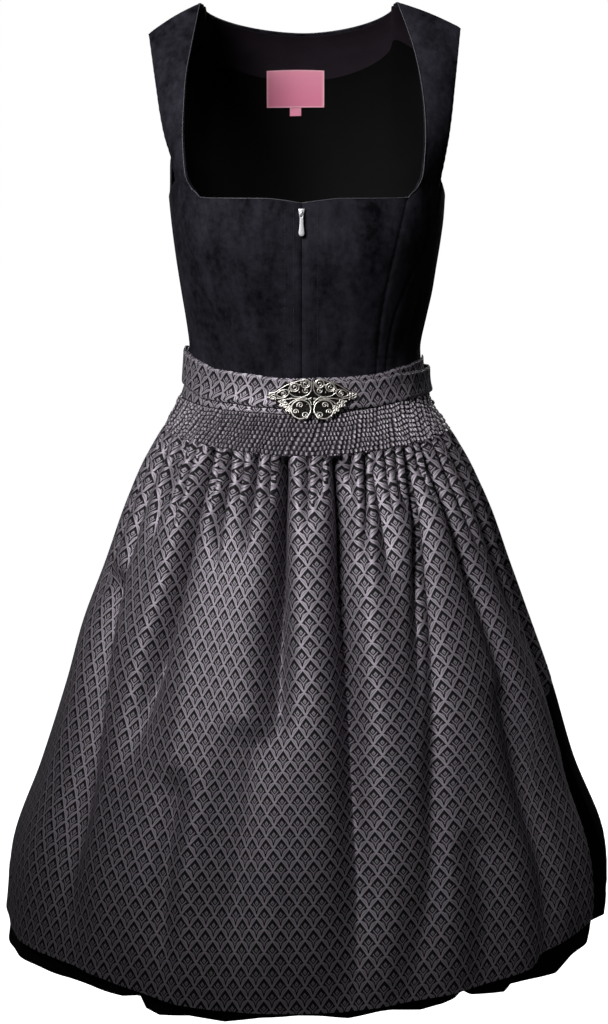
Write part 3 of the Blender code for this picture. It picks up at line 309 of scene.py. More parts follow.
FRONT_FOLDS = table(
    Fold,
    (-78.0, -74.0, 3.5, 5.0, 0.0070, -0.425, -0.600),
    (-64.0, -60.0, 3.0, 5.0, 0.0060, -0.430, -0.620),
    (-75.0, -45.0, 5.0, 7.0, 0.0240, -0.560, -0.990),
    (-52.0, -50.0, 2.5, 4.0, 0.0080, -0.430, -0.520),
    (-36.5, -41.0, 3.0, 6.5, 0.0180, -0.435, -0.790),
    (-33.0, -24.0, 3.5, 4.0, 0.0100, -0.740, -0.990),
    (-27.0, -25.0, 2.3, 3.0, 0.0070, -0.438, -0.540),
    (-17.5, -17.0, 2.2, 3.0, 0.0065, -0.438, -0.530),
    (-6.0, -5.5, 2.6, 6.0, 0.0190, -0.438, -0.770),
    (-8.0, -13.5, 5.0, 6.5, 0.0110, -0.690, -0.990),
    (3.5, 3.0, 2.0, 2.5, 0.0050, -0.438, -0.510),
    (12.6, 7.8, 3.0, 4.5, 0.0210, -0.438, -1.050),
    (23.0, 21.0, 2.4, 4.0, 0.0110, -0.438, -0.590),
    (31.5, 31.0, 2.2, 3.0, 0.0060, -0.438, -0.520),
    (40.0, 16.5, 3.0, 4.0, 0.0120, -0.435, -1.050),
    (34.0, 33.0, 5.0, 6.0, 0.0090, -0.800, -1.000),
    (48.0, 60.0, 3.2, 6.0, 0.0110, -0.435, -0.860),
    (54.0, 46.0, 4.0, 5.0, 0.0120, -0.660, -1.000),
    (66.0, 70.0, 4.0, 5.0, 0.0070, -0.430, -0.720),
    (79.5, 66.0, 4.5, 4.5, 0.0070, -0.450, -0.990),
)
BACK_FOLDS = 15
BACK_FOLDS_SPAN = (71.0, 266.0)
BACK_FOLD_DEPTH = (0.013, 0.021)
BACK_FOLD_WIDTH = (2.6, 4.2)
BACK_FOLD_HEIGHTS = (-0.415, -1.100)
FOLD_TOP_Z = -0.4100
FOLD_FADE = 0.035


# The garment's form


def smooth(knots: Sequence[float], values: Array, at: Array | float) -> Array:
    """A smooth curve through knots in rising order, held flat past its ends.

    Args:
        knots: where the values stand.
        values: one number, or one array, at each knot.
        at: where the curve is read.

    Returns:
        The curve's values there.
    """
    knots = np.asarray(knots, float)
    values = np.asarray(values, float)
    slopes = np.gradient(values, knots, axis=0)
    at = np.clip(np.asarray(at, float), knots[0], knots[-1])
    left = np.clip(np.searchsorted(knots, at) - 1, 0, len(knots) - 2)
    width = knots[left + 1] - knots[left]
    s = (at - knots[left]) / width
    more = (1,) * (values.ndim - 1)
    s, width = s.reshape(s.shape + more), width.reshape(width.shape + more)
    start = values[left] * (2 * s**3 - 3 * s**2 + 1) + slopes[left] * width * (s**3 - 2 * s**2 + s)
    end = values[left + 1] * (3 * s**2 - 2 * s**3) + slopes[left + 1] * width * (s**3 - s**2)
    return start + end


def ease(value: Array, start: float, end: float) -> Array:
    """0 before start, 1 after end and an even curve between them; start may be the larger."""
    s = np.clip((value - start) / (end - start), 0.0, 1.0)
    return s * s * (3.0 - 2.0 * s)


def refined(values: Array, count: int) -> Array:
    """The same run of values with another number of steps, smooth between its points."""
    return smooth(np.arange(len(values)), values, np.linspace(0, len(values) - 1, count))


def column_of(rows: Sequence[NamedTuple], column: str, z: Array) -> Array:
    """A column of a table whose rows fall in z, at any height."""
    return smooth([row.z for row in rows[::-1]], [getattr(row, column) for row in rows[::-1]], z)


def turned(angle: Array) -> Array:
    """The angle brought between -180 and 180 degrees."""
    return (np.asarray(angle, float) + 180.0) % 360.0 - 180.0


def signed_power(value: Array, power: Array) -> Array:
    """The value's size raised to a power, with its sign kept."""
    return np.sign(value) * np.abs(value) ** power


def envelope(angle: Array, z: Array, offset: Array | float = 0.0) -> Array:
    """The garment's outline.

    Args:
        angle: angles in degrees.
        z: heights.
        offset: how far outside the outline the points lie.

    Returns:
        An array of points, with x, y and z last.
    """
    angle, z, offset = np.broadcast_arrays(angle, z, offset)
    phi = np.radians(angle)
    power = 2.0 / column_of(SECTIONS, "power", z)
    side_width = np.where(np.sin(phi) > 0, column_of(SECTIONS, "left", z), column_of(SECTIONS, "right", z))
    width = side_width + offset
    front = column_of(SECTIONS, "front", z) + offset
    back = column_of(SECTIONS, "back", z) + offset
    depth = np.where(np.cos(phi) > 0, front, back)
    bust = np.exp(
        -(((np.abs(turned(angle)) - BUST_ANGLE) / BUST_REACH[0]) ** 2)
        - (((z - BUST_Z) / BUST_REACH[1]) ** 2)
    )
    x = width * signed_power(np.sin(phi), power) + BUST_FULLNESS * bust * np.sin(phi)
    y = -depth * signed_power(np.cos(phi), power) - BUST_FULLNESS * bust * np.cos(phi)
    return np.stack([x, y, z], axis=-1)


def front_angle(x: Array, z: Array) -> Array:
    """The angle on the front at which the outline has this x.

    Args:
        x: distances from the centre line.
        z: heights.

    Returns:
        The angles in degrees.
    """
    width = np.where(np.asarray(x) > 0, column_of(SECTIONS, "left", z), column_of(SECTIONS, "right", z))
    share = np.clip(np.abs(x) / width, 0.0, 1.0)
    exponent = column_of(SECTIONS, "power", z) / 2.0
    return np.sign(x) * np.degrees(np.arcsin(share**exponent))


def waist_seam(angle: Array) -> Array:
    """Height of the seam between bodice and skirt."""
    forward = (1.0 + np.cos(np.radians(angle))) / 2.0
    return WAIST_SEAM_BACK + (WAIST_SEAM_FRONT - WAIST_SEAM_BACK) * forward


def dipped(levels: tuple[float, float], angle: Array) -> Array:
    """A height that is levels[0] at the front centre and levels[1] at the sides."""
    side = np.abs(np.sin(np.radians(np.clip(turned(angle), -90.0, 90.0)))) ** 1.6
    return levels[0] + (levels[1] - levels[0]) * side


def level_at(rows: Sequence[Level], angle: Array) -> Array:
    """Height of an edge at these angles."""
    return smooth([row.angle for row in rows], [row.z for row in rows], turned(angle))


def hem_at(rows: Sequence[Level], angle: Array) -> Array:
    """Height of a hem, which runs straight between the points of its table."""
    return np.interp(turned(angle), [row.angle for row in rows], [row.z for row in rows])


def fold_inset(angle: Array, z: Array, folds: Sequence[Fold]) -> Array:
    """How far the folds draw the cloth in from the outline.

    Args:
        angle: angles in degrees.
        z: heights.
        folds: the folds to count.

    Returns:
        The inset of each point.
    """
    angle, z = np.broadcast_arrays(np.asarray(angle, float), np.asarray(z, float))
    down = np.clip((z - YOKE_BOTTOM[0]) / (SKIRT_HEM - YOKE_BOTTOM[0]), 0.0, 1.0)
    inset = np.zeros(angle.shape)
    for fold in folds:
        centre = fold.angle_top + (fold.angle_hem - fold.angle_top) * down
        width = fold.width_top + (fold.width_hem - fold.width_top) * down
        fade_out = min(0.45 * (fold.z_from - fold.z_to), 0.20)
        present = ease(z, fold.z_from, fold.z_from - FOLD_FADE) * ease(z, fold.z_to, fold.z_to + fade_out)
        away = np.abs(turned(angle - centre)) / width
        inset = np.maximum(inset, 0.35 * inset + fold.depth * present * np.exp(-(away**1.7)))
    return inset * ease(z, FOLD_TOP_Z, FOLD_TOP_Z - FOLD_FADE)


def back_folds() -> tuple[Fold, ...]:
    """Even gathers round the hidden sides and the back, uneven in depth and width.

    Returns:
        The folds.
    """
    first, last = BACK_FOLDS_SPAN
    step = (last - first) / BACK_FOLDS
    folds = []
    for i in range(BACK_FOLDS):
        wave = 0.5 + 0.5 * np.sin(2.4 * i + 0.7)
        centre = first + step * (i + 0.5 + 0.16 * np.sin(3.9 * i))
        depth = BACK_FOLD_DEPTH[0] + (BACK_FOLD_DEPTH[1] - BACK_FOLD_DEPTH[0]) * wave
        width = BACK_FOLD_WIDTH[0] + (BACK_FOLD_WIDTH[1] - BACK_FOLD_WIDTH[0]) * (1.0 - wave)
        lean = 2.0 * np.sin(5.1 * i)
        folds.append(Fold(centre, centre + lean, width, width + 2.0, depth, *BACK_FOLD_HEIGHTS))
    return tuple(folds)


FOLDS = FRONT_FOLDS + back_folds()


def drawn_in(angle: Array, z: Array, inset: Array, offset: Array | float = 0.0) -> Array:
    """Points of the outline, moved towards the garment's middle by inset.

    Args:
        angle: angles in degrees.
        z: heights.
        inset: how far each point is moved.
        offset: how far outside the outline it is at first.

    Returns:
        The points.
    """
    point = envelope(angle, z, offset)
    phi = np.radians(np.broadcast_to(angle, point.shape[:-1]))
    inward = np.stack([-np.sin(phi), np.cos(phi), np.zeros_like(phi)], axis=-1)
    return point + inward * np.broadcast_to(inset, point.shape[:-1])[..., None]


def outward(grid: Array) -> Array:
    """Unit normals of a grid of points, on the outside of the cloth."""
    normals = np.cross(np.gradient(grid, axis=0), np.gradient(grid, axis=1))
    return normals / np.maximum(np.linalg.norm(normals, axis=-1, keepdims=True), 1e-12)


def spread(start: Array, end: Array, steps: int) -> Array:
    """Columns from start to end, each an array over the rows."""
    share = np.linspace(0.0, 1.0, steps)[None, :]
    return start[:, None] + (end - start)[:, None] * share


def trimmed(start: Array, end: Array, radius: Array | float) -> tuple[Array, Array]:
    """A panel's two edge angles, each drawn in by half the seam gap."""
    cut = np.degrees(0.5 * SEAM_GAP / radius)
    return start + cut, end - cut


def seam_heights(top_z: float, levels: Sequence[float], seam_z: float) -> Array:
    """Heights down one seam: a top, even steps to the first close level, the close levels and the waist."""
    even = np.linspace(top_z, levels[0], UNDERARM_ROWS)
    return np.array([*even, *levels[1:], seam_z])


def panel_between(side: Side, heights: tuple[Array, Array], seams: tuple, top_edge: Array,
                  columns: int) -> Array:
    """A bodice panel between two seams, on one side of the garment.

    Args:
        side: the garment's side.
        heights: row heights down the inner and the outer seam.
        seams: two functions of height and side, each giving its seam's angle from the front centre.
        top_edge: height of the top edge, across the panel.
        columns: how many columns of points it has.

    Returns:
        The panel's grid of points.
    """
    u = np.linspace(0.0, 1.0, columns)
    z = heights[0][:, None] * (1 - u) + heights[1][:, None] * u
    waist_angle = seams[0](z[-1:, 0], side)[0] * (1 - u) + seams[1](z[-1:, -1], side)[0] * u
    z[-1] = waist_seam(waist_angle) + 0.5 * SEAM_GAP
    fade = np.linspace(1.0, 0.0, len(z) - 4)
    z[: len(fade)] += (top_edge - z[0]) * fade[:, None]
    inner, outer = seams[0](z[:, 0], side), seams[1](z[:, -1], side)
    start, end = trimmed(inner, outer, column_of(SECTIONS, "right", z[:, 0]))
    angle = side.sign * (start[:, None] * (1 - u) + end[:, None] * u)
    return facing_out(side, envelope(angle, z))


def facing_out(side: Side, grid: Array) -> Array:
    """Puts the columns in the order of growing angle on either side."""
    return grid if side.sign > 0 else grid[:, ::-1]


def angle_on(side: Side, x: Array, z: Array) -> Array:
    """Angle from the front centre, on one side, at a distance x from the centre line."""
    return side.sign * front_angle(side.sign * x, z)


def princess_angle(z: Array, side: Side) -> Array:
    """Where the front princess seam runs."""
    return angle_on(side, column_of(PRINCESS_SEAM, "x", z), z)


def strap_seam_angle(z: Array, side: Side) -> Array:
    """Where the seam behind the strap panel runs."""
    return angle_on(side, column_of(side.strap_seam, "x", z), z)


def back_seam_angle(z: Array, side: Side) -> Array:
    """Where the back princess seam runs."""
    return 180.0 - angle_on(side, column_of(BACK_SEAM, "x", z), z)


def zip_angle(z: Array, side: Side) -> Array:
    """Where the zip runs."""
    return side.sign * front_angle(ZIP_X, z)


def side_seam_angle(z: Array, side: Side) -> Array:
    """Where the side seam runs."""
    return np.full_like(z, 90.0)


def front_centre_grid(side: Side) -> Array:
    """Centre front, from the zip to the princess seam.

    Args:
        side: the garment's side.

    Returns:
        The panel's grid of points.
    """
    columns = 9
    heights = np.array([*BODICE_LEVELS, waist_seam(20.0)])
    angles = np.linspace(0.0, 40.0, columns)
    edge = NECK_Z - NECK_NOTCH[0] * np.exp(-((angles / NECK_NOTCH[1]) ** 2))
    edge[-1] = BODICE_LEVELS[0]
    return panel_between(side, (heights, heights), (zip_angle, princess_angle), edge, columns)


def edge_line(rows: Sequence[EdgePoint], z: Array, side: Side) -> Array:
    """Points along an edge given by a table, at these heights, on one side of the garment."""
    return np.stack([side.sign * column_of(rows, "x", z), column_of(rows, "y", z), z], axis=-1)


def front_strap_grid(side: Side) -> Array:
    """Side front with its strap, from the shoulder seam to the waist.

    Args:
        side: the garment's side.

    Returns:
        The panel's grid of points.
    """
    columns = 6
    u = np.linspace(0.0, 1.0, columns)
    inner_z = np.array([side.strap_inner[0].z, *STRAP_ROWS_INNER])
    outer_z = np.array([side.strap_outer[0].z, *STRAP_ROWS_OUTER])
    upper = edge_line(side.strap_inner, inner_z, side)[:, None] * (1 - u)[None, :, None]
    upper = upper + edge_line(side.strap_outer, outer_z, side)[:, None] * u[None, :, None]
    upper[0, :, 1] -= SHOULDER_SEAM_GAP
    waist_z = waist_seam(38.0) + 0.5 * SEAM_GAP
    inner_z = np.array([side.strap_inner[-1].z, *BODICE_LEVELS, waist_z])
    outer_z = np.array([side.strap_seam[0].z, *BODICE_LEVELS, waist_z])
    inner, outer = princess_angle(inner_z, side), strap_seam_angle(outer_z, side)
    inner[0] = angle_on(side, side.strap_inner[-1].x, inner_z[0])
    start, end = trimmed(inner, outer, 0.125)
    angle = side.sign * (start[:, None] + (end - start)[:, None] * u)
    z = inner_z[:, None] + (outer_z - inner_z)[:, None] * u
    lower = envelope(angle, z)
    if side.sign < 0:
        upper, lower = upper[:, ::-1], lower[:, ::-1]
    crown = np.sin(np.pi * u)[None, :, None] * STRAP_CROWN
    fade = np.linspace(1.0, 0.3, len(upper))[:, None, None]
    upper = upper + outward(upper) * crown * fade
    return np.concatenate([upper, lower])


def armhole_edge(first: float, last: float, columns: int) -> Array:
    """Heights of the armhole's edge under the arm."""
    return level_at(ARMHOLE, np.linspace(first, last, columns))


def side_grid(side: Side) -> Array:
    """Side panel, from the strap seam to the side seam.

    Args:
        side: the garment's side.

    Returns:
        The panel's grid of points.
    """
    columns = 6
    inner = np.array([side.strap_seam[0].z, *BODICE_LEVELS, waist_seam(60.0)])
    outer = seam_heights(UNDERARM_Z, BODICE_LEVELS[-3:], waist_seam(90.0))
    edge = armhole_edge(ARMHOLE[1].angle, 90.0, columns)
    edge[0], edge[-1] = inner[0], outer[0]
    return panel_between(side, (inner, outer), (strap_seam_angle, side_seam_angle), edge, columns)


def back_side_grid(side: Side) -> Array:
    """Side back, from the side seam to the back seam.

    Args:
        side: the garment's side.

    Returns:
        The panel's grid of points.
    """
    columns = 7
    inner = seam_heights(UNDERARM_Z, BODICE_LEVELS[-3:], waist_seam(90.0))
    outer = seam_heights(BACK_SEAM[0].z, BODICE_LEVELS[-3:], waist_seam(150.0))
    edge = armhole_edge(90.0, ARMHOLE[-1].angle, columns)
    edge[0], edge[-1] = inner[0], outer[0]
    return panel_between(side, (inner, outer), (side_seam_angle, back_seam_angle), edge, columns)


def back_centre_grid() -> Array:
    """Centre back with both back straps: from the neckline and shoulder seams to the waist.

    Returns:
        The panel's grid of points.
    """
    columns = 27
    u = np.linspace(-1.0, 1.0, columns)
    z = seam_heights(BACK_SEAM[0].z, BODICE_LEVELS[-3:], waist_seam(180.0) + 0.5 * SEAM_GAP)
    start, end = back_seam_angle(z, LEFT), 360.0 - back_seam_angle(z, RIGHT)
    start, end = trimmed(start, end, column_of(SECTIONS, "right", z))
    lower = envelope(spread(start, end, columns), z[:, None])
    base = lower[0]
    t = np.array(BACK_UPPER_ROWS)
    upper = np.empty((len(t), columns, 3))
    for i, side in [(i, LEFT if u[i] <= 0 else RIGHT) for i in range(columns)]:
        neck = np.clip(np.abs(u[i]) / BACK_NECK_SHARE, 0.0, 1.0)
        strap = np.clip((np.abs(u[i]) - BACK_NECK_SHARE) / (1.0 - BACK_NECK_SHARE), 0.0, 1.0)
        inner, outer = side.strap_inner[0], side.strap_outer[0]
        turn = neck * np.pi / 2
        top = np.array(
            [
                side.sign * (np.sin(turn) ** BACK_NECK_SQUARE * inner.x + (outer.x - inner.x) * strap),
                SHOULDER_SEAM_GAP + BACK_NECK[0] * np.cos(turn) ** 0.75,
                BACK_NECK[1]
                + (inner.z - BACK_NECK[1]) * (1.0 - np.cos(turn) ** 1.1)
                + (outer.z - inner.z) * strap,
            ]
        )
        bend = 0.5 * (base[i] + top)
        bend[1] = base[i, 1] * 0.985
        bend[2] = top[2] - BACK_BEND * (top[2] - base[i, 2])
        s = t[:, None]
        line = (1 - s) ** 2 * top + 2 * s * (1 - s) * bend + s**2 * base[i]
        edge = edge_line(side.back_outer, outer.z + (BACK_SEAM[0].z - outer.z) * t, side)
        edge += (base[i] - edge[-1]) * s**3 * strap
        edge[0, 1] = SHOULDER_SEAM_GAP
        near_edge = ease(strap, 0.0, 1.0)
        upper[:, i] = line * (1.0 - near_edge) + edge * near_edge
    return np.concatenate([upper[:-1], lower])


def apron_edges(down: Array) -> tuple[Array, Array]:
    """Angles of the apron's two side edges at each share of the way down."""
    left = APRON_LEFT[0] + (APRON_LEFT[1] - APRON_LEFT[0]) * down
    return left, smooth([row.down for row in APRON_RIGHT_EDGE], [row.angle for row in APRON_RIGHT_EDGE], down)


def skirt_seams(down: Array) -> list[Array]:
    """Angles of the skirt's two side seams at each share of the way down."""
    return [top + (hem - top) * down for top, hem in SKIRT_SEAMS]


def belt_offset(angle: Array) -> Array:
    """How far the belt's outside stands off the outline: further over the waistband than at the back.

    Args:
        angle: angles in degrees.

    Returns:
        The distances.
    """
    over = ease(np.abs(turned(angle)), 108.0, 99.0)
    loose = np.exp(-(((turned(angle) - BELT_LOOSE_ANGLE) / BELT_LOOSE_REACH) ** 2))
    return YOKE_GAP + BELT_OVER_BAND * over + BELT_WALL + BELT_LOOSE_RISE * loose


# Tools for cloth and trims


def resampled(grid: Array, rows: int, columns: int) -> Array:
    """The same cloth with finer steps, smooth between its points."""
    return refined(refined(grid, rows).swapaxes(0, 1), columns).swapaxes(0, 1)


def rippled(angle: Array, pitch: float, bend: float, slow: float) -> Array:
    """A wave of this pitch in degrees, made uneven by a slow wave that bends its phase."""
    return np.sin(angle * 2 * np.pi / pitch + bend * np.sin(angle * slow))


def hem_fold(above_hem: Array, depth: float, step: float, groove: float) -> Array:
    """The step where a hem of this depth is turned up, less the groove that its stitching pulls in."""
    stitched = np.exp(-(((above_hem - depth) / 0.0012) ** 2))
    return step * ease(above_hem, depth + 0.001, depth - 0.001) - groove * stitched


def arc(grid: Array, axis: int) -> Array:
    """Distance along the cloth from its first row or column.

    Args:
        grid: the cloth's points.
        axis: 0 to go down the columns, 1 along the rows.

    Returns:
        The distance of each point.
    """
    steps = np.linalg.norm(np.diff(grid, axis=axis), axis=-1)
    start = np.zeros_like(np.take(steps, [0], axis=axis))
    return np.concatenate([start, np.cumsum(steps, axis=axis)], axis=axis)


def flat_map(grid: Array, width: float | None = None, length: float | None = None,
             middle: float = 0.5) -> Array:
    """Where each point lay in the flat cloth, in metres, before it was sewn.

    Args:
        grid: the cloth's points.
        width: the cut's width, or None to keep each row's own measure.
        length: the cut's length, or None to keep each column's own measure.
        middle: the share of the width at which the map's u is 0.

    Returns:
        u and v for each point, with v falling from the top edge.
    """
    u, v = arc(grid, 1), arc(grid, 0)
    if width is not None:
        u = u / u[:, -1:] * width
    if length is not None:
        v = v / v[-1:, :] * length
    return np.stack([u - u[:, -1:] * middle, -v], axis=-1)


def cut_of(points: Array) -> tuple[tuple[float, float], float]:
    """Size of a cloth that is neither gathered nor stretched.

    Args:
        points: the grid of points of its right side.

    Returns:
        The width and length of the flat cut, and its area.
    """
    across, down = points[:-1, 1:] - points[:-1, :-1], points[1:, :-1] - points[:-1, :-1]
    area = float(np.linalg.norm(np.cross(across, down), axis=-1).sum())
    size = (float(arc(points, 1)[:, -1].max()), float(arc(points, 0)[-1].max()))
    return size, area


def deselect() -> None:
    """Leaves nothing selected."""
    for thing in bpy.context.selected_objects:
        thing.select_set(False)


def choose(*things: Piece) -> None:
    """Selects only these objects, the first one active."""
    deselect()
    for thing in things:
        thing.select_set(True)
    bpy.context.view_layer.objects.active = things[0]


def apply_modifier(piece: Piece, kind: str, **settings: object) -> None:
    """Adds a modifier with these settings to a piece and applies it.

    Args:
        piece: the piece.
        kind: the modifier's type.
        **settings: its values.
    """
    choose(piece)
    bpy.ops.object.modifier_add(type=kind)
    modifier = piece.modifiers[-1]
    for name, value in settings.items():
        setattr(modifier, name, value)
    bpy.ops.object.modifier_apply(modifier=modifier.name)


def cloth_piece(name: str, points: Array, flat: Array, finish: Material, wall: float) -> Piece:
    """A sheet of cloth with a wall, its right side on the grid.

    Args:
        name: the piece's name.
        points: the grid of points of its right side.
        flat: where each point lay in the flat cloth.
        finish: its material.
        wall: its thickness, which goes inwards.

    Returns:
        The new piece.
    """
    rows, columns = points.shape[:2]
    deselect()
    bpy.ops.mesh.primitive_grid_add(x_subdivisions=columns - 1, y_subdivisions=rows - 1, size=1.0)
    piece = bpy.context.object
    piece.name = name
    mesh = piece.data
    mesh.name = name
    mesh.vertices.foreach_set("co", points[::-1].reshape(-1).astype(np.float32))
    corners = np.empty(len(mesh.loops), np.int32)
    mesh.loops.foreach_get("vertex_index", corners)
    layer = mesh.uv_layers[0]
    layer.name = "cloth"
    layer.data.foreach_set("uv", flat[::-1].reshape(-1, 2)[corners].reshape(-1).astype(np.float32))
    mesh.materials.append(finish)
    mesh.update()
    apply_modifier(piece, "SOLIDIFY", thickness=wall, offset=-1.0, use_quality_normals=True)
    choose(piece)
    bpy.ops.object.shade_smooth_by_angle(angle=math.radians(55.0))
    return piece


def meshed(curve: bpy.types.Curve, paths: Sequence[Array], finish: Material, closed: bool) -> Piece:
    """Gives a curve its lines and makes a mesh of it.

    Args:
        curve: the curve, with its thickness set.
        paths: one array of points for each line.
        finish: the mesh's material.
        closed: whether each line runs back to its start.

    Returns:
        The new piece, the only one selected.
    """
    for path in paths:
        spline = curve.splines.new("POLY")
        spline.points.add(len(path) - 1)
        spline.points.foreach_set("co", np.c_[path, np.ones(len(path))].reshape(-1))
        spline.use_cyclic_u = closed
    piece = bpy.data.objects.new(curve.name, curve)
    bpy.context.scene.collection.objects.link(piece)
    choose(piece)
    bpy.ops.object.convert(target="MESH")
    piece = bpy.context.object
    piece.data.materials.clear()
    piece.data.materials.append(finish)
    return piece


def wire_piece(name: str, paths: Sequence[Array], radius: float, finish: Material, round_steps: int = 1,
               closed: bool = False) -> Piece:
    """Round wires, cords or rolled edges along paths of points, as one mesh.

    Args:
        name: the piece's name.
        paths: one array of points for each wire.
        radius: half the wire's thickness.
        finish: its material.
        round_steps: how finely its section is rounded.
        closed: whether each path runs back to its start.

    Returns:
        The new piece.
    """
    curve = bpy.data.curves.new(name, "CURVE")
    curve.dimensions = "3D"
    curve.bevel_depth = radius
    curve.bevel_resolution = round_steps
    curve.use_fill_caps = True
    piece = meshed(curve, paths, finish, closed)
    bpy.ops.object.shade_smooth()
    return piece


def bead(segments: int, rings: int, half_size: Sequence[float], turn: float = 0.0) -> Piece:
    """A small round model to copy.

    Args:
        segments: how many faces it has round its poles.
        rings: how many from pole to pole.
        half_size: its reach along x, y and z.
        turn: angle by which its poles are turned about y, before it is sized.

    Returns:
        The model.
    """
    deselect()
    bpy.ops.mesh.primitive_uv_sphere_add(
        segments=segments, ring_count=rings, radius=1.0, rotation=(0.0, turn, 0.0)
    )
    model = bpy.context.object
    bpy.ops.object.transform_apply(location=False, rotation=True, scale=False)
    for vertex in model.data.vertices:
        vertex.co = [reach * half for reach, half in zip(vertex.co, half_size)]
    return model


def oval(x: float, z: float, reach_x: Array | float, reach_z: Array | float, turns: Array) -> Array:
    """Points round a place at these turns, at one reach or one for each turn."""
    return np.stack([x + reach_x * np.cos(turns), z + reach_z * np.sin(turns)], axis=-1)


def moved(at: Array, scale: float = 1.0) -> Array:
    """A matrix that scales a model and moves it to a point."""
    return np.block([[np.eye(3) * scale, np.reshape(at, (3, 1))], [np.zeros((1, 3)), np.ones((1, 1))]])


def repeated(name: str, model: Piece, places: Sequence[Array], finish: Material) -> Piece:
    """Copies of a small model at many places, as one mesh, and the model removed.

    Args:
        name: the piece's name.
        model: what is copied, in its own axes.
        places: one 4 by 4 matrix for each copy.
        finish: its material.

    Returns:
        The new piece.
    """
    points = np.array([v.co[:] for v in model.data.vertices])
    faces = [tuple(face.vertices) for face in model.data.polygons]
    points = np.c_[points, np.ones(len(points))]
    all_points = [(points @ np.asarray(place).T)[:, :3] for place in places]
    count = len(points)
    all_faces = [tuple(corner + i * count for corner in face) for i in range(len(places)) for face in faces]
    mesh = bpy.data.meshes.new(name)
    mesh.from_pydata(np.concatenate(all_points).tolist(), [], all_faces)
    mesh.materials.append(finish)
    piece = bpy.data.objects.new(name, mesh)
    bpy.context.scene.collection.objects.link(piece)
    bpy.data.objects.remove(model)
    choose(piece)
    bpy.ops.object.shade_smooth()
    return piece


def placement(at: Array, along: Array, out: Array) -> Array:
    """A matrix that puts a model's x axis along a line and its z axis outwards, at a point.

    Args:
        at: the point.
        along: the line's direction.
        out: the outward direction.

    Returns:
        The 4 by 4 matrix.
    """
    x = along / np.linalg.norm(along)
    y = np.cross(out, x)
    y = y / np.linalg.norm(y)
    matrix = np.eye(4)
    matrix[:3, 0], matrix[:3, 1], matrix[:3, 2], matrix[:3, 3] = x, y, np.cross(x, y), at
    return matrix


class Stitch(NamedTuple):
    """Measures of a running stitch: its length, from one to the next, and the thread's thickness."""

    length: float
    pitch: float
    thickness: float


PLACKET_STITCH = Stitch(0.0026, 0.0033, 0.0005)
LABEL_STITCH = Stitch(0.0016, 0.0022, 0.0004)
# long pale dashes below a band's top edge: partly topstitching, partly painted highlight of the folded edge
# broken by the pattern
EDGE_HIGHLIGHT_DASH = Stitch(0.0038, 0.0068, 0.00055)
HEM_STITCH = Stitch(0.0026, 0.0036, 0.0005)


def stitches(name: str, path: Array, out: Array, finish: Material, stitch: Stitch) -> Piece:
    """A line of running stitches on the cloth.

    Args:
        name: the piece's name.
        path: the points that the line follows.
        out: the cloth's outward direction at each of them.
        finish: the thread's material.
        stitch: the measures of one stitch.

    Returns:
        The new piece.
    """
    length, pitch, thickness = stitch
    model = bead(6, 5, (length / 2, thickness / 2, thickness / 2), math.pi / 2)
    along = np.concatenate([[0.0], np.cumsum(np.linalg.norm(np.diff(path, axis=0), axis=1))])
    centres = np.arange(pitch / 2, along[-1], pitch)

    def read(values: Array, at: Array) -> Array:
        """The values along the line, at these distances."""
        return np.stack([np.interp(at, along, values[:, k]) for k in range(3)], axis=-1)

    at = read(path, centres)
    ahead = read(path, centres + 0.0005) - read(path, centres - 0.0005)
    facing = read(out, centres)
    places = [placement(p + o * thickness * 0.2, a, o) for p, a, o in zip(at, ahead, facing)]
    return repeated(name, model, places, finish)


# Finishes


class Num:
    """A number that a material works out at each point; Python's operators combine such numbers."""

    def __init__(self, graph: "Graph", socket: Socket) -> None:
        """Keeps the material's graph and the socket that gives the number."""
        self.graph = graph
        self.socket = socket

    def math(self, operation: str, *others: "Num | float", clamp: bool = False) -> "Num":
        """Another number, from one of Blender's math operations on this one and the others.

        Args:
            operation: its name.
            *others: the numbers after this one.
            clamp: whether the result is held between 0 and 1.

        Returns:
            The new number.
        """
        node = self.graph.node("ShaderNodeMath", operation=operation, use_clamp=clamp)
        for place, value in enumerate((self, *others)):
            self.graph.feed(node.inputs[place], value)
        return Num(self.graph, node.outputs[0])

    def __add__(self, other: "Num | float") -> "Num":
        """Sum."""
        return self.math("ADD", other)

    def __sub__(self, other: "Num | float") -> "Num":
        """Difference."""
        return self.math("SUBTRACT", other)

    def __mul__(self, other: "Num | float") -> "Num":
        """Product."""
        return self.math("MULTIPLY", other)

    __radd__ = __add__
    __rmul__ = __mul__

    def __rsub__(self, other: float) -> "Num":
        """Difference from a plain number."""
        return (self * -1.0).math("ADD", other)

    def size(self) -> "Num":
        """The number without its sign."""
        return self.math("ABSOLUTE")

    def held(self) -> "Num":
        """The number, held between 0 and 1."""
        return self.math("MULTIPLY", 1.0, clamp=True)

    def wave(self, pitch: float) -> "Num":
        """A sine of the number that repeats at this pitch."""
        return (self * (2 * math.pi / pitch)).math("SINE")

    def above(self, other: "Num | float") -> "Num":
        """1 where it is the larger, otherwise 0."""
        return self.math("GREATER_THAN", other)

    def within(self, reach: "Num | float", soft: float) -> "Num":
        """1 where its size is under reach, falling to 0 across a soft edge."""
        inside = (self.size() * -1.0).math("ADD", reach)
        return inside.math("MULTIPLY_ADD", 1.0 / soft, 0.5, clamp=True)

    def either(self, other: "Num") -> "Num":
        """The larger of the two."""
        return self.math("MAXIMUM", other)


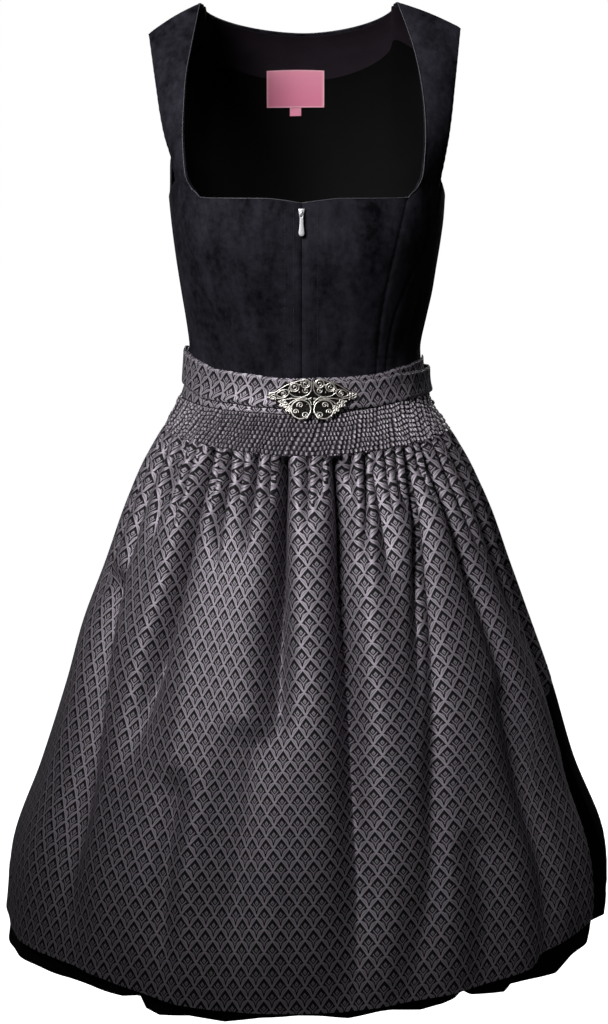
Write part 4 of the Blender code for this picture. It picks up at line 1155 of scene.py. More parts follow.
class Graph:
    """The nodes of one material."""

    def __init__(self, name: str) -> None:
        """Starts a new material of this name.

        Args:
            name: the material's name.
        """
        self.material = bpy.data.materials.new(name)
        self.material.use_nodes = True
        self.tree = self.material.node_tree
        self.shader = self.tree.nodes["Principled BSDF"]

    def node(self, kind: str, **settings: object) -> bpy.types.Node:
        """A new node of this kind, with its settings.

        Args:
            kind: the node's type.
            **settings: its values.

        Returns:
            The node.
        """
        made = self.tree.nodes.new(kind)
        for name, value in settings.items():
            setattr(made, name, value)
        return made

    def feed(self, socket: Socket, value: object) -> None:
        """Sets a socket to a plain value, or links it to what gives the value.

        Args:
            socket: what is set.
            value: a plain value, a colour, a number or a socket.
        """
        if isinstance(value, Num):
            value = value.socket
        if isinstance(value, Socket):
            self.tree.links.new(value, socket)
        elif isinstance(value, tuple) and socket.type == "RGBA":
            socket.default_value = (*value, 1.0)
        else:
            socket.default_value = value

    def set(self, **sockets: object) -> None:
        """Sets the shader's own sockets, named with underscores."""
        for name, value in sockets.items():
            self.feed(self.shader.inputs[name.replace("_", " ")], value)

    def place(self) -> Socket:
        """The point in the object's own coordinates."""
        return self.node("ShaderNodeTexCoord").outputs["Object"]

    def flat(self) -> tuple[Num, Num]:
        """Where the point lay in the flat cloth, across and up.

        Returns:
            The two numbers, in metres.
        """
        split = self.node("ShaderNodeSeparateXYZ")
        self.feed(split.inputs[0], self.node("ShaderNodeUVMap", uv_map="cloth").outputs[0])
        return Num(self, split.outputs[0]), Num(self, split.outputs[1])

    def noise(self, scale: float, detail: float = 3.0, rough: float = 0.5,
              stretch: tuple[float, float, float] = (1.0, 1.0, 1.0)) -> Num:
        """Smooth uneven values from 0 to 1, with this many lumps a metre.

        Args:
            scale: how many lumps lie in a metre.
            detail: how many finer layers there are.
            rough: how strong those are.
            stretch: how much closer lumps lie along each axis.

        Returns:
            The number.
        """
        mapping = self.node("ShaderNodeMapping")
        self.feed(mapping.inputs["Vector"], self.place())
        mapping.inputs["Scale"].default_value = stretch
        made = self.node("ShaderNodeTexNoise")
        self.feed(made.inputs["Vector"], mapping.outputs[0])
        made.inputs["Scale"].default_value = scale
        made.inputs["Detail"].default_value = detail
        made.inputs["Roughness"].default_value = rough
        return Num(self, made.outputs[0])

    def blend(self, share: Num, first: object, second: object) -> Socket:
        """A colour between two, by share.

        Args:
            share: 0 for the first colour, 1 for the second.
            first: a colour or a socket.
            second: a colour or a socket.

        Returns:
            The socket that gives the colour.
        """
        made = self.node("ShaderNodeMix", data_type="RGBA")
        self.feed(made.inputs[0], share)
        self.feed(made.inputs[6], first)
        self.feed(made.inputs[7], second)
        return made.outputs[2]

    def relief(self, height: Num, distance: float, strength: float = 1.0) -> None:
        """Raises the surface's shading by height, in units of distance.

        Args:
            height: the number that stands for height.
            distance: the height of 1.
            strength: how fully it shows.
        """
        bump = self.node("ShaderNodeBump")
        bump.inputs["Distance"].default_value = distance
        bump.inputs["Strength"].default_value = strength
        self.feed(bump.inputs["Height"], height)
        self.set(Normal=bump.outputs[0])


@dataclass(frozen=True)
class Velveteen:
    """Short-piled cotton velvet: near black, with brighter patches in its colour that are partly the pile's
    uneven tone and partly painted highlight where the nap catches light.
    """

    name: str = "velveteen_cloth"
    deep: Color = (0.0018, 0.0017, 0.0026)
    # the pile's brighter colour: partly its own uneven tone, partly painted highlight where the nap catches
    # light
    brushed_pile_and_highlight: Color = (0.0230, 0.0218, 0.0296)
    glow: Color = (0.62, 0.61, 0.72)

    def material(self) -> Material:
        """Makes the material.

        Returns:
            The material.
        """
        graph = Graph(self.name)
        marks = graph.noise(36.0, 5.0, 0.66, (1.0, 1.0, 0.42))
        pressed = graph.noise(140.0, 3.0, 0.6)
        # mixes the two colours in random patches: partly the pile's own uneven tone, partly painted nap
        # highlight
        nap = (marks - 0.5) * 2.0 + (pressed - 0.5) * 1.0 + 0.44
        graph.set(Base_Color=graph.blend(nap.held(), self.deep, self.brushed_pile_and_highlight), Roughness=0.82)
        graph.set(Sheen_Weight=0.035, Sheen_Roughness=0.30, Sheen_Tint=self.glow, Specular_IOR_Level=0.04)
        pile = graph.noise(1500.0, 2.0)
        graph.relief(pile + marks * 1.6, 0.0006, 0.5)
        return graph.material


@dataclass(frozen=True)
class PlainCloth:
    """A plain woven cloth: fine crossed threads, and a little unevenness."""

    name: str
    color: Color
    roughness: float = 0.75
    sheen: float = 0.15
    threads: float = 1900.0
    specular: float = 0.25

    def material(self) -> Material:
        """Makes the material.

        Returns:
            The material.
        """
        graph = Graph(self.name)
        u, v = graph.flat()
        weave = u.wave(1 / self.threads) * v.wave(1 / self.threads)
        uneven = graph.noise(30.0, 4.0, 0.6)
        light = tuple(min(1.0, c * 1.55) for c in self.color)
        dark = tuple(c * 0.62 for c in self.color)
        share = (uneven * 0.8 + weave * 0.18 + 0.1).held()
        graph.set(Base_Color=graph.blend(share, dark, light), Roughness=self.roughness)
        graph.set(Sheen_Weight=self.sheen, Sheen_Roughness=0.5, Specular_IOR_Level=self.specular)
        graph.relief(weave + uneven * 3.0, 0.0002, 0.6)
        return graph.material


@dataclass(frozen=True)
class Jacquard:
    """Satin jacquard: a trellis of veined leaves with a small flower in each diamond, pale on near black.

    The chart of one diamond is drawn in millimetres from the diamond's middle, X to either side and Y up. A
    leaf lies along each upper edge, from the diamond's top to its side corner.
    """

    name: str = "jacquard_cloth"
    wide: float = 0.0160
    high: float = 0.0230
    dark: Color = (0.0040, 0.0034, 0.0046)
    pale: Color = (0.3500, 0.3120, 0.3600)
    ground: float = 0.022
    satin: float = 0.50
    soft: float = 0.26

    def chart(self, graph: Graph) -> Num:
        """How far each point shows the pale thread, from 0 to 1.

        Args:
            graph: the material's nodes.

        Returns:
            The share of pale thread.
        """
        u, v = graph.flat()
        p = (u * (1.0 / self.wide)).math("FRACT") - 0.5
        q = (v * (1.0 / self.high)).math("FRACT") - 0.5
        across, sign = p.size(), q.math("SIGN")
        own = (across + q.size()).math("LESS_THAN", 0.5)
        other = 1.0 - own
        px = across * own + (0.5 - across) * other
        qy = q - sign * other * 0.5
        x, y = px * (self.wide * 1000), qy * (self.high * 1000)
        upper = qy.above(0.0)
        side = upper * 2.0 - 1.0
        s = px * side - qy + 0.5
        inward = (0.5 - (px + qy.size())) * side * 13.1
        soft = self.soft

        bow = (s * math.pi).math("SINE").either(s * 0.0)
        from_rib = inward + bow * 1.05
        leaf = from_rib.within(bow.math("POWER", 0.6) * 1.20 + 0.45, soft)
        vein = from_rib.within(0.22, soft) * (s - 0.42).within(0.25, 0.1)
        top_notch = self.oval(x, y - 8.0, 0.90, 1.7)
        low_notch = self.oval(x, y + 6.6, 0.95, 2.0)
        bud = (x * (1 / 2.0) + (y - 2.7).size() * (1 / 2.8)).within(1.0, 0.3)
        seed = (x * (1 / 0.7) + (y - 2.3).size() * (1 / 1.0)).within(1.0, 0.3)
        cup = (y - x * 1.15 + 2.4).within(0.80, soft) * x.math("LESS_THAN", 3.9)
        lower = (y - x * 1.15 + 5.2).within(0.50, soft) * (x - 2.6).within(1.1, soft)
        stem = x.within(0.55, soft) * (y + 3.8).within(1.2, soft)

        level = bow * 0.0 + self.ground
        for light, tone in ((lower, 0.55), (cup, 0.90), (stem, 0.80), (bud, 0.80), (seed, 0.15)):
            level = self.over(level, light, tone)
        level = self.over(level, leaf, 1.0 - vein * 0.85)
        return level * (1.0 - top_notch.either(low_notch) * 0.95)

    @staticmethod
    def oval(x: Num, y: Num, half_width: float, half_height: float) -> Num:
        """1 inside an oval round the place where x and y are 0."""
        far = (x * (1 / half_width)).math("POWER", 2.0) + (y * (1 / half_height)).math("POWER", 2.0)
        return far.within(1.0, 0.5)

    @staticmethod
    def over(level: Num, share: Num, tone: "Num | float") -> Num:
        """The level with a tone laid over it where share is 1."""
        return level * (1.0 - share) + share * tone

    def material(self) -> Material:
        """Makes the material.

        Returns:
            The material.
        """
        graph = Graph(self.name)
        level = self.chart(graph)
        ribs = graph.flat()[1].wave(0.00045)
        uneven = graph.noise(12.0, 3.0, 0.55)
        # painted sheen: large random patches where the satin's pale threads are brighter in some places and
        # dimmer in others
        worn = level * (uneven * 0.5 + 0.75)
        share = (worn + ribs * level * 0.06).held()
        graph.set(Base_Color=graph.blend(share, self.dark, self.pale))
        graph.set(Roughness=0.56 - level * 0.10, Specular_IOR_Level=0.12, Metallic=share * self.satin)
        graph.relief(level + ribs * 0.12, 0.00022, 0.8)
        return graph.material


@dataclass(frozen=True)
class SmockedJacquard(Jacquard):
    """The jacquard drawn up in ribs that are caught in rows, with painted shade darkening the hollows between
    them and painted highlight brightening the ribs.
    """

    name: str = "smocked_jacquard_cloth"
    # paler than the flat jacquard's pale thread: painted highlight on the ribs
    pale: Color = (0.5200, 0.4640, 0.5300)
    pleat: float = 0.0054
    row: float = 0.0058

    def chart(self, graph: Graph) -> Num:
        """How far each point shows the pale thread, with painted shade bringing it near 0 in the hollows.

        Args:
            graph: the material's nodes.

        Returns:
            The share of pale thread.
        """
        u, v = graph.flat()
        down = v * (1.0 / self.row)
        shift = (down.math("FLOOR") * 0.5).math("FRACT")
        off_rib = ((u * (1.0 / self.pleat) + shift).math("FRACT") - 0.5).size()
        off_row = (down.math("FRACT") - 0.5).size()
        # 1 on the ribs, falling to 0 in the hollows between them: painted shade that darkens the hollows near
        # black
        unshaded_rib = off_rib.within(0.23, 0.20) * off_row.within(0.42, 0.16)
        # random small patches that make the ribs brighter or darker
        worn = graph.noise(330.0, 3.0, 0.7) * 3.2 - 0.75
        return (super().chart(graph) * 0.55 + 0.45) * unshaded_rib * worn + 0.02


@dataclass(frozen=True)
class Metal:
    """Cast or drawn metal with a worn, uneven surface."""

    name: str
    bright: Color
    dull: Color
    roughness: float = 0.28
    grain: float = 420.0

    def material(self) -> Material:
        """Makes the material.

        Returns:
            The material.
        """
        graph = Graph(self.name)
        worn = graph.noise(self.grain, 4.0, 0.65)
        share = ((worn - 0.5) * 2.4 + 0.5).held()
        graph.set(Base_Color=graph.blend(share, self.dull, self.bright), Metallic=1.0)
        graph.set(Roughness=self.roughness + (1.0 - share) * 0.22)
        graph.relief(worn, 0.00012, 0.5)
        return graph.material


@dataclass(frozen=True)
class WovenLabel:
    """A woven label, bare: rose threads with a paler edge, and painted light that brightens it towards its
    top.
    """

    name: str = "rose_label_cloth"
    rose: Color = (0.620, 0.170, 0.280)
    # the rose brightened by painted light, towards the label's top
    light: Color = (0.820, 0.300, 0.420)
    edge: Color = (0.860, 0.480, 0.550)
    width: float = 0.0610
    length: float = 0.0385

    def material(self) -> Material:
        """Makes the material.

        Returns:
            The material.
        """
        graph = Graph(self.name)
        u, v = graph.flat()
        # painted light: the colour brightens from the rose towards the label's top
        top = (v * (1.0 / self.length) + 1.0).held()
        ribs = v.wave(0.0006) * u.wave(0.0007)
        painted_top_light = (top.math("POWER", 1.6) + ribs * 0.10).math("MULTIPLY", 0.9, clamp=True)
        base = graph.blend(painted_top_light, self.rose, self.light)
        across = u.size().within(self.width / 2 - 0.0016, 0.0006)
        down = (v + self.length / 2).within(self.length / 2 - 0.0012, 0.0006)
        border = 1.0 - across * down
        graph.set(Base_Color=graph.blend(border * 0.6, base, self.edge), Roughness=0.55)
        graph.set(Sheen_Weight=0.2, Specular_IOR_Level=0.3)
        graph.relief(ribs + border, 0.00012, 0.8)
        return graph.material


@dataclass(frozen=True)
class BackLining:
    """Black satin lining, with a facing of slightly warmer cloth along the neck."""

    name: str = "black_lining_cloth"
    lining: Color = (0.0028, 0.0028, 0.0028)
    facing: Color = (0.0170, 0.0125, 0.0170)
    facing_depth: float = 0.052

    def material(self) -> Material:
        """Makes the material.

        Returns:
            The material.
        """
        graph = Graph(self.name)
        v = graph.flat()[1]
        faced = (v + self.facing_depth).math("MULTIPLY_ADD", 1 / 0.0006, 0.5, clamp=True)
        uneven = graph.noise(40.0, 4.0, 0.6)
        base = graph.blend(faced, self.lining, self.facing)
        graph.set(Base_Color=graph.blend(uneven * 0.5, base, (0.0010, 0.0010, 0.0010)), Roughness=0.70)
        graph.set(Sheen_Weight=0.0, Specular_IOR_Level=0.04)
        graph.relief(uneven + faced * 0.4, 0.0005, 0.5)
        return graph.material


@dataclass(frozen=True)
class Backdrop:
    """Plain pale paint of the studio floor."""

    name: str = "studio_floor"
    color: Color = (0.90, 0.90, 0.91)

    def material(self) -> Material:
        """Makes the material.

        Returns:
            The material.
        """
        graph = Graph(self.name)
        mottle = graph.noise(2.0, 2.0)
        graph.set(Base_Color=graph.blend(mottle * 0.3, self.color, (0.86, 0.86, 0.87)), Roughness=0.9)
        graph.set(Emission_Color=(1.0, 1.0, 1.0), Emission_Strength=1.0, Specular_IOR_Level=0.0)
        return graph.material


# the neck edge's grey line: partly its turned edge and stitching, partly painted highlight on that edge
NECK_EDGE_THREAD_AND_HIGHLIGHT = PlainCloth("neck_edge_thread_and_highlight", (0.040, 0.038, 0.046), roughness=0.5, specular=0.4)
BLACK_THREAD = PlainCloth("black_thread", (0.0070, 0.0070, 0.0100), roughness=0.6, specular=0.2)
# pale thread for the dashes below the bands' top edges, pale for the painted edge highlight as well
PALE_THREAD_AND_HIGHLIGHT = PlainCloth("pale_thread_and_highlight", (0.360, 0.330, 0.370), roughness=0.45, specular=0.4)
GREY_THREAD = PlainCloth("grey_thread", (0.050, 0.046, 0.054), roughness=0.45, specular=0.4)
ROSE_THREAD = PlainCloth("rose_thread", (0.62, 0.30, 0.37), roughness=0.5)
SKIRT_CLOTH = PlainCloth("skirt_cloth", (0.0030, 0.0028, 0.0038), roughness=0.85, sheen=0.01, specular=0.05)
ZIP_TAPE = PlainCloth("zip_tape_weave", (0.0025, 0.0025, 0.0028), sheen=0.0, specular=0.05)
SILVER_WIRE = Metal("old_silver_wire", (0.93, 0.90, 0.86), (0.60, 0.57, 0.52), roughness=0.36)
SILVER_RECESS = Metal("old_silver_recess", (0.030, 0.027, 0.024), (0.006, 0.005, 0.005), roughness=0.60)
ZIP_METAL = Metal("zip_metal_finish", (0.92, 0.92, 0.94), (0.60, 0.60, 0.62), roughness=0.42)


# The garment's pieces


class Crease(NamedTuple):
    """A soft ridge on cloth, or a trough where its height is below zero."""

    angle: float
    z: float
    half_angle: float
    half_height: float
    height: float
    lean: float = 0.0


def creased(angle: Array, z: Array, creases: Sequence[Crease]) -> Array:
    """How far the creases raise the cloth at each point.

    Args:
        angle: angles in degrees.
        z: heights.
        creases: the creases to count.

    Returns:
        The rise of each point.
    """
    rise = np.zeros(np.broadcast(angle, z).shape)
    for crease in creases:
        middle = crease.angle + crease.lean * (z - crease.z)
        across = turned(angle - middle) / crease.half_angle
        rise = rise + crease.height * np.exp(-(across**2) - ((z - crease.z) / crease.half_height) ** 2)
    return rise


def angle_of(grid: Array) -> Array:
    """The angle at which each point stands round the garment."""
    return np.degrees(np.arctan2(grid[..., 0], -grid[..., 1])) % 360.0


def dress_piece(piece: Piece, slot: str, *nodes: str, body: str = "dress") -> None:
    """Hangs a piece on the body that it rides on, and hides the solids that it stands for.

    Args:
        piece: the piece.
        slot: its finish slot; not used.
        *nodes: the solids it stands for, if any.
        body: the body that it rides on.
    """
    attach(piece, body)
    if nodes:
        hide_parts(*nodes)
    log.info("%s: %d faces", piece.name, len(piece.data.polygons))


class Edge(Enum):
    """What a side edge of a bodice panel is."""

    SEAM = "seam"
    ZIP = "zip"


BODICE_CREASES = table(
    Crease,
    (14.0, -0.372, 5.0, 0.030, -0.0016, 20.0),
    (-13.0, -0.368, 5.0, 0.034, -0.0017, -26.0),
    (-24.0, -0.352, 4.0, 0.040, 0.0013, -20.0),
    (25.0, -0.345, 4.0, 0.045, 0.0014, 22.0),
    (8.0, -0.215, 5.0, 0.018, -0.0010, 60.0),
    (-9.0, -0.218, 6.0, 0.016, -0.0011, -50.0),
    (22.0, -0.262, 7.0, 0.030, 0.0012, 40.0),
    (-20.0, -0.270, 7.0, 0.034, 0.0012, -44.0),
    (56.0, -0.330, 4.0, 0.040, -0.0014, 10.0),
    (-58.0, -0.322, 4.0, 0.042, -0.0014, -14.0),
    (96.0, -0.330, 7.0, 0.022, -0.0015, 120.0),
    (-94.0, -0.325, 7.0, 0.024, -0.0015, -110.0),
    (150.0, -0.335, 9.0, 0.020, -0.0016, 160.0),
    (-152.0, -0.345, 9.0, 0.022, -0.0017, -150.0),
    (176.0, -0.300, 5.0, 0.045, 0.0014, 30.0),
    (-168.0, -0.290, 5.0, 0.050, -0.0013, -20.0),
    (168.0, -0.130, 9.0, 0.050, -0.0014, 0.0),
    (-160.0, -0.120, 9.0, 0.050, 0.0012, 0.0),
)


@dataclass
class Bodice:
    """The velveteen panels, the lining inside the back and the grey line along the neck, which is partly the
    turned edge and partly painted highlight on it.
    """

    velvet: Material
    lining: Material
    # finish of the neck edge line, grey for its painted highlight
    neck_edge_highlight: Material
    thread: Material
    seam_depth: float = 0.0011
    seam_reach: float = 0.0022
    pucker: float = 0.00022
    pucker_pitch: float = 0.0085
    pucker_reach: float = 0.007
    seam_overlap: float = 0.00045
    zip_roll: float = 0.0016
    neck_edge_radius: float = 0.00042
    placket_lines: tuple[float, float] = (0.0078, 0.0165)
    lining_wall: float = 0.0006
    lining_inset: float = 0.0008
    lining_slack: float = 0.0004

    def fitted(self, name: str, slot: str, node: str, points: Array, finish: Material, wall: float) -> None:
        """Builds a sheet that is neither gathered nor loose.

        Args:
            name: the piece's name.
            slot: its finish slot.
            node: the solid that it stands for.
            points: the grid of points of its right side.
            finish: its material.
            wall: its thickness.
        """
        piece = cloth_piece(name, points, flat_map(points), finish, wall)
        dress_piece(piece, slot, node)
        size, area = cut_of(points)

    def worn(self, grid: Array, first: Edge, last: Edge) -> Array:
        """The panel's points with seams sunk at its edges, rolled at the zip, and with its creases.

        Args:
            grid: the panel's fine points.
            first: what its first side edge is.
            last: what its last side edge is.

        Returns:
            The worn points.
        """
        normals = outward(grid)
        along = arc(grid, 1)
        from_last = along[:, -1:] - along
        rise = creased(angle_of(grid), grid[..., 2], BODICE_CREASES)
        grid = grid.copy()
        for edge, away, outermost, inner in ((first, along, 0, 1), (last, from_last, -1, -2)):
            if edge is Edge.SEAM:
                past = grid[:, outermost] - grid[:, inner]
                past = past / np.maximum(np.linalg.norm(past, axis=1, keepdims=True), 1e-9)
                grid[:, outermost] += self.seam_overlap * past
                rise = rise - self.seam_depth * np.exp(-((away / self.seam_reach) ** 1.5))
                z = grid[..., 2]
                ripple = np.sin(z * 2 * np.pi / self.pucker_pitch + 1.3 * np.sin(z * 90))
                rise = rise + self.pucker * ripple * np.exp(-((away / self.pucker_reach) ** 2))
            if edge is Edge.ZIP:
                rise = rise - self.zip_roll * np.exp(-((away / self.zip_roll) ** 1.4))
        return grid + normals * rise[..., None]

    def panel(self, name: str, node: str, grid: Array, rows: int, columns: int, edges: tuple) -> Array:
        """Builds one panel of velveteen.

        Args:
            name: the piece's name.
            node: the solid that it stands for.
            grid: the panel's coarse points.
            rows: how many rows it is refined to.
            columns: how many columns it is refined to.
            edges: what its first and its last side edge are.

        Returns:
            Its fine points.
        """
        points = self.worn(resampled(grid, rows, columns), *edges)
        self.fitted(name, "black_velvet", node, points, self.velvet, BODICE_WALL)
        return points

    def build(self) -> Array:
        """Builds the bodice.

        Returns:
            The points of its lining's inner side.
        """
        necks = []
        seams = (Edge.SEAM, Edge.SEAM)
        for side, word in ((LEFT, "left"), (RIGHT, "right")):
            edges = (Edge.ZIP, Edge.SEAM) if side.sign > 0 else (Edge.SEAM, Edge.ZIP)
            strap = front_strap_grid(side)
            centre = front_centre_grid(side)
            front = self.panel("front_panel_" + word, "bodice_front_" + word, centre, 72, 52, edges)
            self.panel("strap_panel_" + word, "bodice_strap_front_" + word, strap, 120, 26, seams)
            self.panel("side_panel_" + word, "bodice_side_" + word, side_grid(side), 66, 30, seams)
            side_back = back_side_grid(side)
            self.panel("side_back_panel_" + word, "bodice_side_back_" + word, side_back, 66, 40, seams)
            inner = strap[:, 0] if side.sign > 0 else strap[:, -1]
            down = smooth(np.arange(len(inner)), inner, np.linspace(0, 9, 90))
            top = front[0] if side.sign < 0 else front[0][::-1]
            necks.append(np.concatenate([down, top]))
            self.placket(front, word)
        self.panel("back_panel", "bodice_back", back_centre_grid(), 110, 130, seams)
        back = resampled(back_centre_grid(), 110, 130)
        self.lay_neck_edge_highlight(necks, back[0])
        return self.back_lining(back)

    def placket(self, front: Array, word: str) -> None:
        """Sews the two topstitched lines beside the zip on one front panel.

        Args:
            front: the panel's fine points.
            word: left or right.
        """
        normals, along = outward(front), arc(front, 1)
        near_zip = -1 if word == "right" else 0
        away = np.abs(along - along[:, near_zip][:, None])
        for number, distance in enumerate(self.placket_lines, start=1):
            column = np.argmin(np.abs(away - distance), axis=1)
            rows = np.arange(3, len(front) - 1)
            line = np.stack([self.at_distance(front[r], away[r], distance) for r in rows])
            out = normals[rows, column[rows]]
            name = f"placket_stitches_{word}_{number}"
            dress_piece(stitches(name, line, out, self.thread, PLACKET_STITCH), "black_velvet")

    @staticmethod
    def at_distance(row: Array, away: Array, distance: float) -> Array:
        """The point of a row at a distance from the zip edge."""
        order = np.argsort(away)
        return np.array([np.interp(distance, away[order], row[order, k]) for k in range(3)])

    def lay_neck_edge_highlight(self, necks: Sequence[Array], back_neck: Array) -> None:
        """Lays the thin grey line along the neck's edge: partly the turned edge itself, partly painted
        highlight on it.

        Args:
            necks: points down the strap and across the front, for each side.
            back_neck: the back panel's top edge.
        """
        shoulder = len(back_neck)
        keep = slice(int(shoulder * (1 - BACK_NECK_SHARE) / 2), int(shoulder * (1 + BACK_NECK_SHARE) / 2) + 1)
        paths = [*necks, back_neck[keep]]
        piece = wire_piece("neck_edge_line_and_highlight", paths, self.neck_edge_radius, self.neck_edge_highlight, round_steps=2)
        dress_piece(piece, "black_velvet")

    def back_lining(self, back: Array) -> Array:
        """Builds the lining that shows inside the back.

        Args:
            back: fine points of the back panel's right side.

        Returns:
            The points of its inner side.
        """
        normals = outward(back)
        z = back[..., 2]
        slack = self.lining_slack * np.sin(angle_of(back) * 0.11 + 14 * z) * ease(z, -0.08, -0.2)
        outer = back - normals * (BODICE_WALL + LINING_GAP + slack)[..., None]
        inner = outer[1:-1, 2:-2] - normals[1:-1, 2:-2] * self.lining_inset
        right_side, wall = inner[:, ::-1], self.lining_wall
        self.fitted("back_lining_cloth", "black_lining", "back_lining", right_side, self.lining, wall)
        return inner


def depth_on(grid: Array, x: Array, z: Array) -> Array:
    """Depth (y) of a surface at each x and z, for a surface that x and z address once.

    Args:
        grid: the surface's points.
        x: distances from the centre line.
        z: heights.

    Returns:
        The depths.
    """
    found = np.empty(x.shape)
    columns = grid.swapaxes(0, 1)
    for place in np.ndindex(x.shape):
        across = np.array([np.interp(-z[place], -column[:, 2], column[:, 0]) for column in columns])
        depths = np.array([np.interp(-z[place], -column[:, 2], column[:, 1]) for column in columns])
        found[place] = np.interp(-x[place], -across, depths)
    return found


@dataclass
class NeckLabel:
    """The bare woven label and the bare size tab inside the back neck."""

    cloth: Material
    thread: Material
    centre_x: float = -0.0090
    top: float = -0.0580
    size: tuple[float, float] = (0.0610, 0.0385)
    tab_size: tuple[float, float] = (0.0120, 0.0095)
    tilt: float = 0.0080
    bow: float = 0.00096
    wall: float = 0.0005
    gap: float = 0.0006
    caught: float = 0.0005
    loose_edge: tuple[float, float] = (0.0005, 0.0008)

    def build(self, lining: Array) -> None:
        """Builds the label and the tab on the lining's points.

        Args:
            lining: the points of the lining's inner side.
        """
        label = self.slab("neck_label_cloth", "neck_label", lining, self.top, self.size, (25, 15))
        tab_top = self.top - self.size[1] + 0.0006
        self.slab("size_tab_cloth", "size_tab", lining, tab_top, self.tab_size, (7, 6), self.caught)
        out = outward(label)
        for number, column in enumerate((1, -2), start=1):
            line, facing = label[1:-1, column], out[1:-1, column]
            piece = stitches(f"label_stitches_{number}", line, facing, self.thread, LABEL_STITCH)
            dress_piece(piece, "pink_label")

    def slab(self, name: str, node: str, lining: Array, top: float, size: tuple[float, float],
             steps: tuple[int, int], caught: float = 0.0) -> Array:
        """Builds a small sheet that lies on the lining, a little bowed and tilted.

        Args:
            name: the piece's name.
            node: the solid that it stands for.
            lining: the points of the lining's inner side.
            top: height of its top edge.
            size: its width and length.
            steps: how many columns and rows of points it has.
            caught: how much of its length is caught in the seam above it.

        Returns:
            Its points.
        """
        u, down = np.meshgrid(np.linspace(-1.0, 1.0, steps[0]), np.linspace(0.0, 1.0, steps[1]))
        x = self.centre_x + u * size[0] / 2
        bow = self.bow * (1 - u**2) * (1 - down)
        z = top - down * size[1] + self.tilt * (x - self.centre_x) + bow
        low = np.exp(-(((down - 1.0) / 0.25) ** 2)) * (1 - np.abs(u) ** 3)
        y = depth_on(lining, x, z) - self.gap - (self.loose_edge[0] + self.loose_edge[1] * low)
        points = np.stack([x, y, z], axis=-1)
        piece = cloth_piece(name, points, flat_map(points, size[0], size[1]), self.cloth, self.wall)
        dress_piece(piece, "pink_label", node)
        flat = (size[0], size[1] + caught)
        return points


